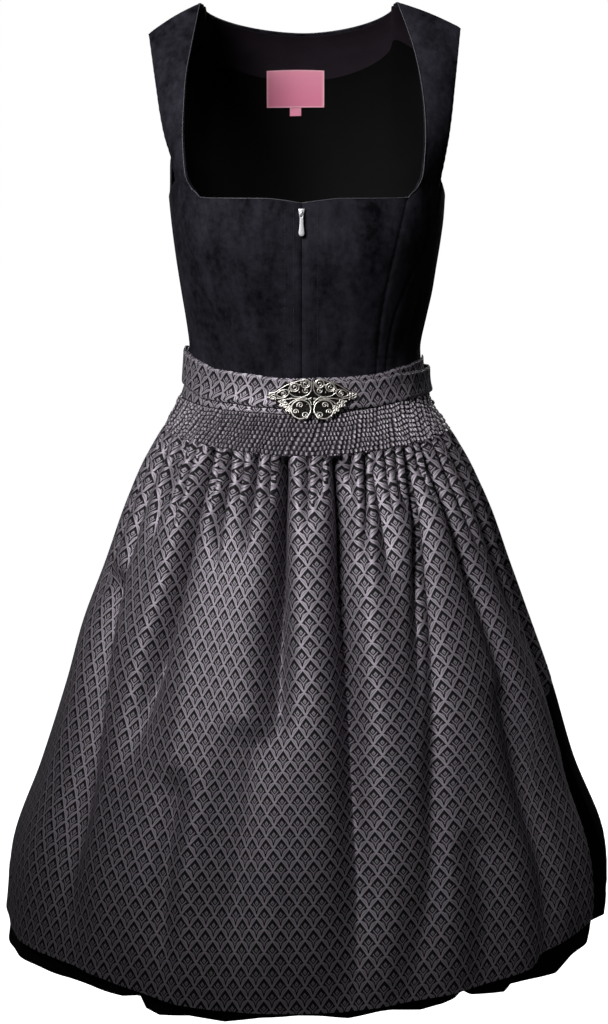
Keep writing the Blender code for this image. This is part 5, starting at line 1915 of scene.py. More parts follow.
@dataclass
class ZipFastener:
    """The zip down the front: tape, teeth, slider with its bail, and the drop-shaped pull in it."""

    metal: Material
    tape: Material
    coil: Material
    half_width: float = 0.0115
    tape_wall: float = 0.0008
    tape_cut: tuple[float, float] = (0.0230, 0.195)
    slider_z: float = -0.2010
    slider_size: tuple[float, float, float] = (0.0066, 0.0020, 0.0090)
    cloth_gap: float = 0.0006
    bail_depth: float = 0.0022
    bail_height: float = 0.0042
    pull_length: float = 0.0235
    pull_half_width: float = 0.0029
    pull_thick: float = 0.0012
    pull_rounding: float = 0.0003
    pull_hollow: float = 0.0005
    neck_z: float = 0.0004
    crown_half_width: float = 0.0020
    crown_rise: float = 0.0006
    hole_half_size: tuple[float, float] = (0.0012, 0.0017)
    hole_z: float = -0.0023
    tooth_pitch: float = 0.0015
    tooth_half_size: tuple[float, float, float] = (0.0011, 0.00045, 0.00040)
    tooth_shift: float = 0.0008
    tooth_sink: float = 0.0006
    slider_taper: float = 0.62
    slider_rounding: float = 0.0007
    bail_radius: float = 0.0005

    def build(self) -> None:
        """Builds the whole zip."""
        z = np.linspace(NECK_Z - NECK_NOTCH[0], WAIST_SEAM_FRONT + 0.0002, 60)
        start, end = front_angle(ZIP_X - self.half_width, z), front_angle(ZIP_X + self.half_width, z)
        behind = envelope(spread(start, end, 13), z[:, None], -BODICE_WALL - LINING_GAP)
        piece = cloth_piece("zip_tape_cloth", behind, flat_map(behind), self.tape, self.tape_wall)
        dress_piece(piece, "black_skirt_cloth", "zip_tape")
        self.teeth()
        self.pull(self.slider())

    def teeth(self) -> None:
        """Two rows of coil teeth on the tape's face."""
        heights = np.arange(self.slider_z - 0.004, WAIST_SEAM_FRONT + 0.004, -self.tooth_pitch)
        places = []
        for number, z in enumerate(heights):
            x = ZIP_X + (self.tooth_shift if number % 2 else -self.tooth_shift)
            places.append(moved(envelope(front_angle(x, z), z, -BODICE_WALL - self.tooth_sink)))
        model = bead(6, 4, self.tooth_half_size)
        dress_piece(repeated("zip_teeth", model, places, self.coil), "black_skirt_cloth")

    def slider(self) -> float:
        """Builds the slider's body and its bail.

        Returns:
            The depth of its face.
        """
        back_y = envelope(0.0, self.slider_z)[1] - self.cloth_gap
        face_y = back_y - self.slider_size[1]
        middle = (ZIP_X, back_y - self.slider_size[1] / 2, self.slider_z)
        deselect()
        bpy.ops.mesh.primitive_cube_add(size=1.0, location=middle)
        body = bpy.context.object
        body.name = "zip_slider_body"
        body.scale = self.slider_size
        bpy.ops.object.transform_apply(location=True, rotation=False, scale=True)
        for vertex in body.data.vertices:
            if vertex.co.z < self.slider_z:
                vertex.co.x = ZIP_X + (vertex.co.x - ZIP_X) * self.slider_taper
        apply_modifier(body, "BEVEL", width=self.slider_rounding, segments=3, limit_method="ANGLE")
        body.data.materials.append(self.metal)
        choose(body)
        bpy.ops.object.shade_smooth_by_angle(angle=math.radians(40.0))
        dress_piece(body, "zip_metal", "zip_slider")
        radius = self.bail_radius
        reach, half = self.bail_depth + radius, self.bail_height / 2 + radius
        turns = np.linspace(-math.pi / 2, math.pi / 2, 15)
        y = face_y - reach * np.cos(turns) ** 0.6
        path = np.stack([np.full(15, ZIP_X), y, self.slider_z + half * np.sin(turns)], -1)
        ends = path[[0, -1]] + np.array([0.0, 0.0007, 0.0])
        path = np.concatenate([ends[:1], path, ends[1:]])
        dress_piece(wire_piece("zip_slider_bail", [path], radius, self.metal, round_steps=2), "zip_metal")
        return face_y

    def pull(self, face_y: float) -> None:
        """Builds the drop-shaped pull that hangs in the bail.

        Args:
            face_y: depth of the slider's face.
        """
        axis = np.array([ZIP_X, face_y - self.bail_depth / 2, self.slider_z])
        wide, narrow, rounding = self.pull_half_width, self.crown_half_width, self.pull_rounding
        belly = self.crown_rise + wide - self.pull_length
        low = oval(0.0, belly, wide, -wide, np.linspace(math.pi, 0.0, 25))
        down = np.linspace(0.0, 1.0, 12)[1:-1]
        waist = narrow + (wide - narrow) * ease(down, 0.0, 1.0) - self.pull_hollow * np.sin(np.pi * down)
        left = np.stack([-waist, self.neck_z + (belly - self.neck_z) * down], -1)
        right = left[::-1] * np.array([-1.0, 1.0])
        crown = oval(0.0, 0.0, narrow, self.crown_rise, np.linspace(0.0, math.pi, 11))
        hole = oval(0.0, self.hole_z, *self.hole_half_size, np.linspace(0.0, 2 * math.pi, 18, endpoint=False))
        curve = bpy.data.curves.new("zip_pull_drop", "CURVE")
        curve.dimensions = "2D"
        curve.fill_mode = "BOTH"
        curve.extrude = self.pull_thick / 2 - rounding
        curve.bevel_depth = rounding
        curve.bevel_resolution = 2
        curve.offset = -rounding
        outline = np.concatenate([left, low, right, crown])
        paths = [np.c_[line, np.zeros(len(line))] for line in (outline, hole)]
        piece = meshed(curve, paths, self.metal, closed=True)
        for vertex in piece.data.vertices:
            x, y, z = vertex.co
            vertex.co = (axis[0] + x, axis[1] - z, axis[2] + y)
        bpy.ops.object.mode_set(mode="EDIT")
        bpy.ops.mesh.select_all(action="SELECT")
        bpy.ops.mesh.remove_doubles(threshold=0.00002)
        bpy.ops.mesh.normals_make_consistent(inside=False)
        bpy.ops.object.mode_set(mode="OBJECT")
        bpy.ops.object.shade_smooth_by_angle(angle=math.radians(40.0))
        dress_piece(piece, "zip_metal", "zip_pull", body="pull")


def edge_highlight_stitches(name: str, points: Array, thread: Material) -> None:
    """Sews a line of long pale stitches just below the top edge of a band: partly topstitching, partly
    painted highlight of the folded edge, broken by the pattern.
    """
    piece = stitches(name, points[2], outward(points)[2], thread, EDGE_HIGHLIGHT_DASH)
    dress_piece(piece, "grey_jacquard")


def rolled(share: Array, width: float, reach: float, depth: float) -> Array:
    """How far a rolled edge turns in, at a share of the way across a band of this width."""
    away = np.minimum(share, 1.0 - share) * width
    return -depth * np.exp(-((away / reach) ** 1.5))


@dataclass
class BeltAndBand:
    """The belt of the apron's cloth round the waist, and the apron's waistband under it."""

    cloth: Material
    thread: Material
    belt_steps: tuple[int, int] = (460, 25)
    belt_cut: tuple[float, float] = (0.750, 0.031)
    belt_roll: tuple[float, float, float] = (0.030, 0.0013, 0.0011)
    belt_thinned: float = 0.75
    band_steps: tuple[int, int] = (260, 33)
    band_cut: tuple[float, float] = (0.375, 0.038)
    band_roll: tuple[float, float, float] = (0.035, 0.0013, 0.0009)
    band_thinned: float = 0.8

    @staticmethod
    def wrinkles(angle: Array, share: Array) -> Array:
        """Soft unevenness of the belt's cloth.

        Args:
            angle: angles in degrees.
            share: how far down the belt, from 0 to 1.

        Returns:
            The rise of each point.
        """
        slow = 0.00042 * np.sin(angle * 0.23 + 2.4 * share + 1.1 * np.sin(angle * 0.11))
        fast = 0.00020 * np.sin(angle * 0.71 + 5.0 * share + 2.0 * np.sin(angle * 0.37))
        return (slow + fast) * np.sin(np.pi * share) ** 0.5

    def belt(self) -> None:
        """Builds the belt, its two ends meeting under the clasp."""
        middle = float(front_angle(CLASP_X, CLASP_Z))
        gap = math.degrees(BELT_END_GAP / 0.1)
        angles = np.linspace(middle + gap, 360.0 + middle - gap, self.belt_steps[0])[None, :]
        knots = [row.angle for row in BELT]
        top = smooth(knots, [row.top for row in BELT], angles % 360.0)
        height = smooth(knots, [row.height for row in BELT], angles % 360.0)
        share = np.linspace(0.0, 1.0, self.belt_steps[1])[:, None]
        uneven = 0.0004 * np.sin(angles * 0.17) + 0.0003 * np.sin(angles * 0.41 + 1.0)
        z = top - height * share + uneven * (1 - 2 * share)
        rise = rolled(share, *self.belt_roll) + self.wrinkles(angles, share)
        points = envelope(angles, z, belt_offset(angles) + rise)
        flat = flat_map(points, middle=0.0)
        piece = cloth_piece("belt_cloth", points, flat, self.cloth, BELT_WALL * self.belt_thinned)
        dress_piece(piece, "grey_jacquard", "apron_belt")
        edge_highlight_stitches("belt_edge_highlight_dashes", points, self.thread)

    def band(self) -> None:
        """Builds the waistband between the belt and the yoke."""
        angles = np.linspace(APRON_LEFT[0], APRON_RIGHT_TOP, self.band_steps[0])[None, :]
        top, bottom = level_at(BAND_TOP, angles), level_at(YOKE_TOP, angles) + SEAM_GAP
        share = np.linspace(0.0, 1.0, self.band_steps[1])[:, None]
        z = top + (bottom - top) * share + 0.0003 * np.sin(angles * 0.3) * (1 - share)
        rise = rolled(share, *self.band_roll) + self.wrinkles(angles + 40.0, share) * 0.8
        points = envelope(angles, z, YOKE_GAP + APRON_WALL + rise)
        wall = APRON_WALL * self.band_thinned
        piece = cloth_piece("waistband_cloth", points, flat_map(points), self.cloth, wall)
        dress_piece(piece, "grey_jacquard", "apron_waistband")
        edge_highlight_stitches("waistband_edge_highlight_dashes", points, self.thread)


@dataclass
class SmockedYoke:
    """The apron's yoke, drawn up in tiny pleats that are caught in staggered rows."""

    cloth: Material
    thread: Material
    pleats: int = 80
    rows: int = 9
    rise: float = 0.0026
    columns: int = 760
    lines: int = 64
    wall: float = 0.0010
    cut: tuple[float, float] = (0.560, 0.052)
    stand_off: float = 0.0002
    flattened: float = 0.45
    flattened_from: tuple[float, float] = (45.0, 80.0)

    def pleated(self, angle: Array, share: Array) -> tuple[Array, Array]:
        """Which pleat and which row each point lies in, counted from the left and from the top.

        Args:
            angle: the angle of each point.
            share: how far down the yoke it is, from 0 to 1.

        Returns:
            The pleats and the rows passed, in whole numbers and parts.
        """
        across = 0.5 * self.pleats * (0.75 * np.sin(np.radians(angle)) + 0.25 * angle / 90.0 + 2.0)
        side = ease(np.abs(turned(angle)), 30.0, 70.0)
        across = across + side * np.sign(angle) * 1.4 * share
        down = share * self.rows + 0.12 * np.sin(across * 0.83) + 0.7 * side * np.sin(across * 0.9 + 1.0)
        shift = 0.20 * np.sin(across * 0.61 + 0.9 * np.floor(down))
        across = across + shift + 0.16 * np.sin(across * 1.37 + 5.0 * share)
        return across, down + 2.0

    @staticmethod
    def honeycomb(across: Array, down: Array) -> Array:
        """Height of the ribs, from 0 in the hollows to 1 on top.

        Args:
            across: pleats passed.
            down: rows passed.

        Returns:
            The heights.
        """
        off_rib = (across + 0.5 * (np.floor(down) % 2.0)) % 1.0 - 0.5
        off_row = down % 1.0 - 0.5
        return np.exp(-((np.abs(off_rib) / 0.27) ** 2.4)) * np.exp(-((np.abs(off_row) / 0.44) ** 5.0))

    def build(self) -> None:
        """Builds the yoke."""
        angles = np.linspace(APRON_LEFT[0], APRON_RIGHT_TOP, self.columns)[None, :]
        top, bottom = level_at(YOKE_TOP, angles), dipped(YOKE_BOTTOM, angles) + SEAM_GAP
        share = np.linspace(0.0, 1.0, self.lines)[:, None]
        z = top + (bottom - top) * share
        caught = ease(share, 0.0, 0.05)
        uneven = 0.0004 * np.sin(angles * 0.31 + 3.0 * share) + 0.0003 * np.sin(angles * 0.83)
        across, down = self.pleated(angles, share)
        uneven = uneven + 0.0007 * np.sin(across * 2.3 + 1.7 * np.floor(down))
        height = self.rise * (1.0 - self.flattened * ease(np.abs(angles), *self.flattened_from))
        rise = (self.honeycomb(across, down) - 0.25) * height * (0.25 + 0.75 * caught) + uneven * caught
        points = envelope(angles, z, YOKE_GAP + APRON_WALL + self.stand_off + rise)
        flat = np.stack([across * SmockedJacquard.pleat, down * SmockedJacquard.row], axis=-1)
        piece = cloth_piece("smocked_yoke", points, flat, self.cloth, self.wall)
        dress_piece(piece, "grey_jacquard", "apron_yoke")
        edge_highlight_stitches("yoke_top_highlight_dashes", points, self.thread)


class Slit(NamedTuple):
    """A sharp valley between two gathers, from the yoke's seam down to where it opens out."""

    angle_top: float
    angle_low: float
    half_top: float
    half_low: float
    depth: float
    z_low: float


SLITS = table(
    Slit,
    (-86.0, -84.0, 1.5, 2.4, 0.008, -0.570),
    (-78.0, -75.0, 1.5, 2.6, 0.011, -0.620),
    (-66.0, -62.0, 1.4, 2.4, 0.011, -0.600),
    (-55.4, -50.0, 1.4, 2.0, 0.014, -0.530),
    (-49.5, -47.5, 0.9, 1.2, 0.007, -0.485),
    (-43.8, -44.0, 1.2, 1.6, 0.013, -0.505),
    (-35.0, -40.5, 1.6, 2.8, 0.018, -0.730),
    (-30.5, -30.5, 0.9, 1.2, 0.007, -0.480),
    (-26.1, -24.2, 1.3, 1.6, 0.016, -0.545),
    (-20.5, -20.2, 0.9, 1.1, 0.007, -0.480),
    (-15.5, -15.8, 1.2, 1.4, 0.015, -0.530),
    (-10.5, -10.4, 0.9, 1.1, 0.008, -0.485),
    (-5.3, -4.6, 1.5, 2.9, 0.018, -0.740),
    (1.3, 0.8, 0.9, 1.1, 0.010, -0.505),
    (5.6, 5.3, 0.8, 1.0, 0.006, -0.475),
    (10.0, 8.8, 1.7, 3.6, 0.018, -0.900),
    (15.8, 15.0, 0.9, 1.1, 0.007, -0.490),
    (21.1, 14.0, 1.1, 1.6, 0.012, -0.575),
    (28.4, 26.5, 0.9, 1.2, 0.008, -0.495),
    (33.2, 31.5, 0.9, 1.2, 0.006, -0.485),
    (38.2, 20.0, 1.2, 3.0, 0.012, -0.740),
    (43.4, 44.5, 1.0, 1.3, 0.007, -0.490),
    (47.8, 56.0, 1.3, 2.6, 0.012, -0.660),
    (55.6, 58.5, 1.3, 1.8, 0.010, -0.545),
    (66.0, 70.0, 1.4, 2.4, 0.011, -0.610),
    (77.0, 79.0, 1.5, 2.5, 0.010, -0.590),
)


def slit_inset(angle: Array, z: Array) -> Array:
    """How far the slits draw the apron's cloth in, beyond its broad folds.

    Args:
        angle: angles in degrees.
        z: heights.

    Returns:
        The inset of each point.
    """
    inset = np.zeros(np.broadcast(angle, z).shape)
    for slit in SLITS:
        down = np.clip((z - YOKE_BOTTOM[0]) / (slit.z_low - 0.025 - YOKE_BOTTOM[0]), 0.0, 1.0)
        away = turned(angle - slit.angle_top - (slit.angle_low - slit.angle_top) * down)
        half = (slit.half_top + (slit.half_low - slit.half_top) * down) * np.where(away < 0.0, 1.35, 0.70)
        present = ease(down, 1.0, 0.10)
        inset = inset + 1.35 * slit.depth * present * np.exp(-((np.abs(away) / half) ** 2.0))
    return inset


@dataclass
class Apron:
    """The apron's panel, gathered under the yoke and falling in uneven folds to its deep hem."""

    cloth: Material
    thread: Material
    columns: int = 500
    rows: int = 98
    cut: tuple[float, float] = (0.860, 0.555)
    hem_depth: float = 0.037
    hem_step: tuple[float, float] = (0.0006, 0.0007)
    hem_ripple: tuple[float, float] = (0.0003, 0.006)
    gather_rise: float = 0.0006
    gather_reach: tuple[float, float] = (0.040, 0.018)
    swellings: tuple[float, float] = (0.0012, 0.0004)
    swelling_span: tuple[float, float] = (-0.52, -0.72)
    grain_turn: float = 5.0
    panel_reach: float = 9.0

    def gathers(self, angle: Array, below: Array) -> Array:
        """Small gathers that come out of the yoke and fade below it.

        Args:
            angle: angles in degrees.
            below: distances below the yoke.

        Returns:
            The rise of each point.
        """
        wide = rippled(angle, 4.3, 1.7, 0.13) * np.exp(-below / self.gather_reach[0])
        narrow = rippled(angle, 2.7, 2.1, 0.21) * np.exp(-below / self.gather_reach[1])
        return self.gather_rise * (wide + 0.7 * narrow) * ease(below, 0.0, 0.004)

    def unevenness(self, angle: Array, z: Array) -> Array:
        """Slow swellings of the lower cloth.

        Args:
            angle: angles in degrees.
            z: heights.

        Returns:
            The rise of each point.
        """
        first = self.swellings[0] * np.sin(angle * 2 * np.pi / 19.0 + 9.0 * z + 1.5 * np.sin(angle * 0.05))
        second = self.swellings[1] * np.sin(angle * 2 * np.pi / 8.5 - 14.0 * z)
        return (first + second) * ease(z, *self.swelling_span)

    def build(self) -> None:
        """Builds the panel and the stitching of its hem."""
        down = np.linspace(0.0, 1.0, self.rows) ** 1.10
        angles = spread(*apron_edges(down), self.columns)
        top = dipped(YOKE_BOTTOM, angles[0])
        hem = hem_at(APRON_HEM, angles[-1])
        z = top + (hem - top) * down[:, None]
        below, above_hem = top - z, z - hem
        caught = ease(below, 0.0, 0.007)
        inset = fold_inset(angles, z, FOLDS) + slit_inset(angles, z) * caught
        line = drawn_in(angles, z, inset)
        normals = outward(line)
        flat_out = normals * np.array([1.0, 1.0, 0.0])
        flat_out = flat_out / (flat_out**2).sum(axis=-1, keepdims=True)
        rise = self.gathers(angles, below) + self.unevenness(angles, z)
        rise = rise + hem_fold(above_hem, self.hem_depth, *self.hem_step)
        height, reach = self.hem_ripple
        near_hem = np.exp(-(((above_hem - self.hem_depth) / reach) ** 2))
        rise = rise + height * rippled(angles, 2.3, 1.2, 0.4) * near_hem
        points = line + flat_out * (YOKE_GAP + APRON_WALL + rise)[..., None]
        flat = self.laid_flat(line, angles, z)
        piece = cloth_piece("apron_cloth", points, flat, self.cloth, APRON_WALL * 0.7)
        dress_piece(piece, "grey_jacquard", "apron_panel")
        row = int(np.argmin(np.abs(above_hem[:, self.columns // 2] - self.hem_depth)))
        line = np.stack([self.at_height(points, above_hem, j) for j in range(2, self.columns - 2)])
        out = outward(points)[row, 2:-2]
        hem_line = stitches("apron_hem_stitches", line, out, self.thread, HEM_STITCH)
        dress_piece(hem_line, "grey_jacquard")

    def blurred(self, values: Array, angles: Array) -> Array:
        """Values averaged along each row over the reach of a panel between two folds.

        Args:
            values: the values, row by row.
            angles: the angle of each.

        Returns:
            The averages.
        """
        step = float(np.abs(np.diff(angles[0])).mean())
        far = int(2.5 * self.panel_reach / step)
        kernel = np.exp(-0.5 * (np.arange(-far, far + 1) * step / self.panel_reach) ** 2)
        padded = np.pad(values, ((0, 0), (far, far)), mode="edge")
        return np.stack([np.convolve(row, kernel / kernel.sum(), mode="valid") for row in padded])

    def laid_flat(self, line: Array, angles: Array, z: Array) -> Array:
        """Where each point lay in the flat cut.

        The grain hangs straight from the hem's spread cloth up to the yoke. Between the folds the cloth
        keeps its full width, and the cloth that the gathers hide is taken up inside the valleys.

        Args:
            line: the panel's points before the small swellings.
            angles: the angle of each.
            z: its height.

        Returns:
            u and v of each point.
        """
        turn = self.grain_turn
        narrowed = turn + (angles - turn) * (angles[-1:, -1:] - turn) / (angles[:, -1:] - turn)
        grain = np.where(angles < turn, angles, narrowed)
        hem = arc(line[-1:], 1)[0]
        hem = hem * self.cut[0] / hem[-1]
        laid = np.interp(grain, angles[-1], hem) - np.interp(0.0, angles[-1], hem)
        across = np.linalg.norm(np.diff(line, axis=1), axis=-1)
        hidden = slit_inset(angles, z) ** 2 + 0.1 * fold_inset(angles, z, FOLDS) ** 2 + 1e-8
        hidden = 0.5 * (hidden[:, 1:] + hidden[:, :-1])
        spare = np.diff(laid, axis=1) - across
        own = across + hidden * self.blurred(spare, angles) / self.blurred(hidden, angles)
        own = np.maximum(own, 0.4 * across)
        u = np.concatenate([np.zeros((len(line), 1)), np.cumsum(own, axis=1)], axis=1)
        u = laid + (u - laid) - self.blurred(u - laid, angles)
        v = arc(envelope(angles, z), 0)
        v = v / v[-1:].mean() * self.cut[1]
        return np.stack([u, -v], axis=-1)

    def at_height(self, points: Array, above_hem: Array, column: int) -> Array:
        """The point of a column at the hem's stitching."""
        heights = above_hem[::-1, column]
        return np.array([np.interp(self.hem_depth, heights, points[::-1, column, k]) for k in range(3)])


@dataclass
class Skirt:
    """The gathered skirt in three widths, which shows at the sides, at the back and below the apron."""

    cloth: Material
    wall: float = 0.0014
    under_apron: float = 0.0038
    waist_shares: tuple[float, ...] = (0.0, 0.5, 1.0, 1.35, 1.7)
    rows_down: tuple[float, ...] = (0.0, 0.06, 0.17, 0.34, 0.56, 0.79, 1.0)
    rows: int = 110
    cut_length: float = 0.60
    hem_depth: float = 0.030
    hem_step: tuple[float, float] = (0.0005, 0.0006)
    gather_rise: float = 0.0010
    gather_reach: float = 0.035
    swelling: float = 0.0012
    swelling_span: tuple[float, float] = (-0.55, -0.8)
    seam_overlap: float = 0.10
    seam_dips: tuple[float, float] = (0.0014, 0.0006)

    def heights(self, angles: Array) -> Array:
        """Row heights at the angles of each column: the waist seam, the yoke's rows and down to the hem.

        Args:
            angles: the angle of each point.

        Returns:
            The height of each point.
        """
        seam = waist_seam(angles[0]) - 0.5 * SEAM_GAP
        yoke_top, yoke_bottom = level_at(YOKE_TOP, angles[0]), dipped(YOKE_BOTTOM, angles[0])
        waist = [
            seam + (yoke_top - seam) * min(share, 1.0) + (yoke_bottom - yoke_top) * max(share - 1.0, 0.0)
            for share in self.waist_shares
        ]
        hem = hem_at(SKIRT_HEM_LEVELS, angles[-1])
        lower = yoke_bottom + (hem - yoke_bottom) * np.array(self.rows_down)[:, None]
        return refined(np.concatenate([np.array(waist), lower]), self.rows)

    def angles(self, start: Array, end: Array, columns: int) -> Array:
        """Column angles of one width between two seams."""
        start, end = refined(start, self.rows), refined(end, self.rows)
        return spread(start - self.seam_overlap, end + self.seam_overlap, columns)

    def finish_width(self, name: str, node: str, angles: Array, z: Array, inset: Array) -> None:
        """Builds one width of the skirt.

        Args:
            name: the piece's name.
            node: the solid that it stands for.
            angles: the angle of each point.
            z: its height.
            inset: how far it is drawn in from the outline.
        """
        above_hem = z - z[-1:]
        below = z[:1] - z
        gathers = rippled(angles, 3.1, 1.9, 0.17) * np.exp(-below / self.gather_reach)
        rise = self.gather_rise * gathers * ease(below, 0.0, 0.004)
        swelling = np.sin(angles * 2 * np.pi / 15.0 + 8.0 * z)
        rise = rise + self.swelling * swelling * ease(z, *self.swelling_span)
        rise = rise + hem_fold(above_hem, self.hem_depth, *self.hem_step)
        from_first, from_last = np.abs(angles - angles[:, :1]), np.abs(angles - angles[:, -1:])
        rise = rise * ease(np.minimum(from_first, from_last), 0.0, 1.5)
        for away, dip in zip((from_first, from_last), self.seam_dips):
            rise = rise - dip * np.exp(-((away / 0.5) ** 2))
        points = drawn_in(angles, z, inset - rise)
        piece = cloth_piece(name, points, flat_map(points), self.cloth, self.wall * 0.8)
        dress_piece(piece, "black_skirt_cloth", node)

    def build(self) -> None:
        """Builds the three widths."""
        down = np.array([0.0] * len(self.waist_shares) + list(self.rows_down))
        right_seam, left_seam = skirt_seams(down)
        angles = self.angles(right_seam, left_seam, 240)
        z = self.heights(angles)
        near = [
            fold_inset(angles + across, z + step, FOLDS) + slit_inset(angles + across, z + step)
            for across in np.linspace(-4.5, 4.5, 9)
            for step in (-0.02, 0.0, 0.02)
        ]
        below_yoke = np.clip((dipped(YOKE_BOTTOM, angles) - z) / 0.05, 0.0, 1.0)
        inset = np.max(near, axis=0) + self.under_apron * below_yoke
        away = np.minimum(angles - angles[:, :1], angles[:, -1:] - angles)
        at_seam = ease(away, 5.0, 0.0)
        below_top = ease(dipped(YOKE_BOTTOM, angles) - z, -0.004, 0.012)
        inset = inset * (1.0 - at_seam) * (0.3 + 0.7 * below_top) + fold_inset(angles, z, FOLDS) * at_seam
        self.finish_width("skirt_front_cloth", "skirt_front", angles, z, inset)
        centre = np.full_like(down, 180.0)
        backs = (("left", left_seam, centre, 0.52), ("right", centre, 360.0 + right_seam, 0.44))
        for word, start, end, width in backs:
            angles = self.angles(start, end, 230)
            z = self.heights(angles)
            inset = fold_inset(angles, z, FOLDS)
            name, node = f"skirt_back_{word}_cloth", "skirt_back_" + word
            self.finish_width(name, node, angles, z, inset)


class Spiral(NamedTuple):
    """A wire wound in from a circle towards its middle, in millimetres on one half of the clasp."""

    x: float
    z: float
    radius: float
    turns: float
    start: float


RINGS = ((6.6, 15.4, 4.3), (16.9, 11.6, 4.3), (10.8, -10.4, 9.3), (38.2, 3.0, 3.4))
SPIRALS = table(
    Spiral,
    (6.6, 15.4, 4.0, 1.4, 60.0),
    (16.9, 11.6, 4.0, -1.4, 100.0),
    (6.4, 8.4, 3.0, -1.3, 20.0),
    (27.4, 5.2, 2.9, 1.4, 80.0),
    (7.2, -16.0, 3.6, -1.4, 250.0),
    (11.6, -6.2, 3.2, 1.4, 330.0),
    (15.8, -12.6, 2.7, -1.3, 200.0),
)
BANDS = (
    ((1.0, 18.0), (0.9, 13.0), (1.6, 8.0), (4.4, 4.2), (9.0, 2.2), (14.5, 2.0), (19.5, 4.0), (22.6, 7.6),
     (22.0, 11.6)),
    ((9.6, 18.9), (16.0, 17.2), (23.0, 14.6), (29.0, 10.8), (34.5, 7.0), (38.5, 6.0)),
    ((21.4, 8.0), (26.0, 9.4), (31.0, 7.4), (33.6, 4.0), (29.0, 1.6), (24.0, 3.0), (21.4, 8.0)),
    ((1.0, 1.2), (6.0, -0.4), (13.0, 0.2), (20.0, 0.4), (26.0, -0.6), (31.5, 0.4), (36.0, 1.0)),
    ((1.0, -6.0), (2.4, -2.0), (8.0, 1.6), (15.0, -0.6), (20.0, -3.4), (22.5, -6.0)),
)
PETALS = ((27.4, -4.8, 3.6, 5), (38.2, 3.0, 2.6, 3), (22.4, -9.8, 2.8, 5))
GRAINS = (
    (1.5, 0.2, 1.0), (38.2, 3.0, 1.1), (27.4, -4.8, 1.1), (22.4, -9.8, 0.9), (31.8, -3.0, 1.1),
    (34.8, -1.0, 1.0), (25.2, -9.0, 0.9), (21.4, -14.2, 1.0), (18.0, -17.0, 1.0), (24.2, -12.4, 0.9),
    (41.2, 4.0, 1.2), (40.6, 1.0, 1.0), (30.4, -6.6, 0.8), (12.4, 6.6, 0.9), (12.0, 14.0, 0.8),
    (27.4, 5.2, 0.8), (35.4, 4.2, 0.9), (19.8, 7.4, 0.7),
)


@dataclass
class Clasp:
    """The two-part filigree clasp: pierced plates with silver wires, petals and grains laid on them."""

    silver: Material
    recess: Material
    wire: float = 0.00060
    outline_wire: float = 0.00074
    ring_lift: float = 0.0003
    spiral_lift: float = 0.0005
    grain_lift: float = 0.0006
    band_lift: float = 0.0009

    def on_plate(self, side: float, points: Array, lift: float) -> Array:
        """Points given in millimetres on one half, laid on the clasp's face at a height above it.

        Args:
            side: 1 on the wearer's left half, -1 on the right.
            points: x and z of each.
            lift: the height above the face.

        Returns:
            The points in metres.
        """
        x, z = np.asarray(points, float).T[:2] * 0.001
        flat_x = CLASP_X + side * x
        level = CLASP_Z + z
        stand_off = belt_offset(0.0) + (CLASP_GAP + CLASP_WALL + lift)
        place = envelope(front_angle(flat_x, CLASP_Z), np.full_like(flat_x, CLASP_Z), stand_off)
        lean = envelope(0.0, level)[..., 1] - envelope(0.0, CLASP_Z)[1]
        return np.stack([place[..., 0], place[..., 1] + np.minimum(lean, 0.0), level], axis=-1)

    @staticmethod
    def circle(x: float, z: float, radius: float) -> Array:
        """A closed ring's points."""
        return oval(x, z, radius, radius, np.linspace(0.0, 2 * math.pi, 26, endpoint=False))

    @staticmethod
    def wound(spiral: Spiral) -> Array:
        """A spiral's points, from its circle to its middle.

        Args:
            spiral: its measures.

        Returns:
            x and z of each point.
        """
        share = np.linspace(0.0, 1.0, 44)
        turns = math.radians(spiral.start) + 2 * math.pi * spiral.turns * share
        radius = spiral.radius * (1.0 - 0.86 * share)
        return oval(spiral.x, spiral.z, radius, radius, turns)

    @staticmethod
    def flower(x: float, z: float, reach: float, count: int) -> Array:
        """A flower of looped petals in one line.

        Args:
            x: where its middle is, across.
            z: where its middle is, in height.
            reach: a petal's length.
            count: how many petals it has.

        Returns:
            x and z of each point.
        """
        turns = np.linspace(0.0, 2 * math.pi, 24 * count, endpoint=False)
        radius = reach * np.abs(np.sin(turns * count / 2.0)) ** 0.6 + 0.25
        return oval(x, z, radius, radius, turns)

    def half(self, word: str, side: float) -> None:
        """Builds the wires and grains of one half.

        Args:
            word: left or right.
            side: 1 or -1, as for on_plate.
        """
        rings = [self.on_plate(side, self.circle(*ring), self.ring_lift) for ring in RINGS]
        rings += [self.on_plate(side, self.flower(*petal), self.grain_lift) for petal in PETALS]
        piece = wire_piece(f"clasp_{word}_rings", rings, self.outline_wire, self.silver, 2, closed=True)
        dress_piece(piece, "old_silver")
        wires = [self.on_plate(side, self.wound(spiral), self.spiral_lift) for spiral in SPIRALS]
        wires += [self.on_plate(side, refined(np.array(band), 40), self.band_lift) for band in BANDS]
        piece = wire_piece(f"clasp_{word}_wires", wires, self.wire, self.silver, 2)
        dress_piece(piece, "old_silver")
        points = self.on_plate(side, np.array(GRAINS)[:, :2], self.grain_lift)
        places = [moved(point, grain[2]) for point, grain in zip(points, GRAINS)]
        model = bead(10, 7, (0.001, 0.001, 0.001))
        dress_piece(repeated(f"clasp_{word}_grains", model, places, self.silver), "old_silver")

    def build(self) -> None:
        """Builds both halves on their plates, and gives the plates their finish."""
        for word, side in (("left", 1.0), ("right", -1.0)):
            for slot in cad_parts["clasp_" + word].material_slots:
                slot.material = self.recess
            self.half(word, side)


class Lamp(NamedTuple):
    """A soft box: its place and size, its share of the key light's power, and its spread in degrees."""

    name: str
    at: tuple[float, float, float]
    size: tuple[float, float]
    share: float
    spread: float


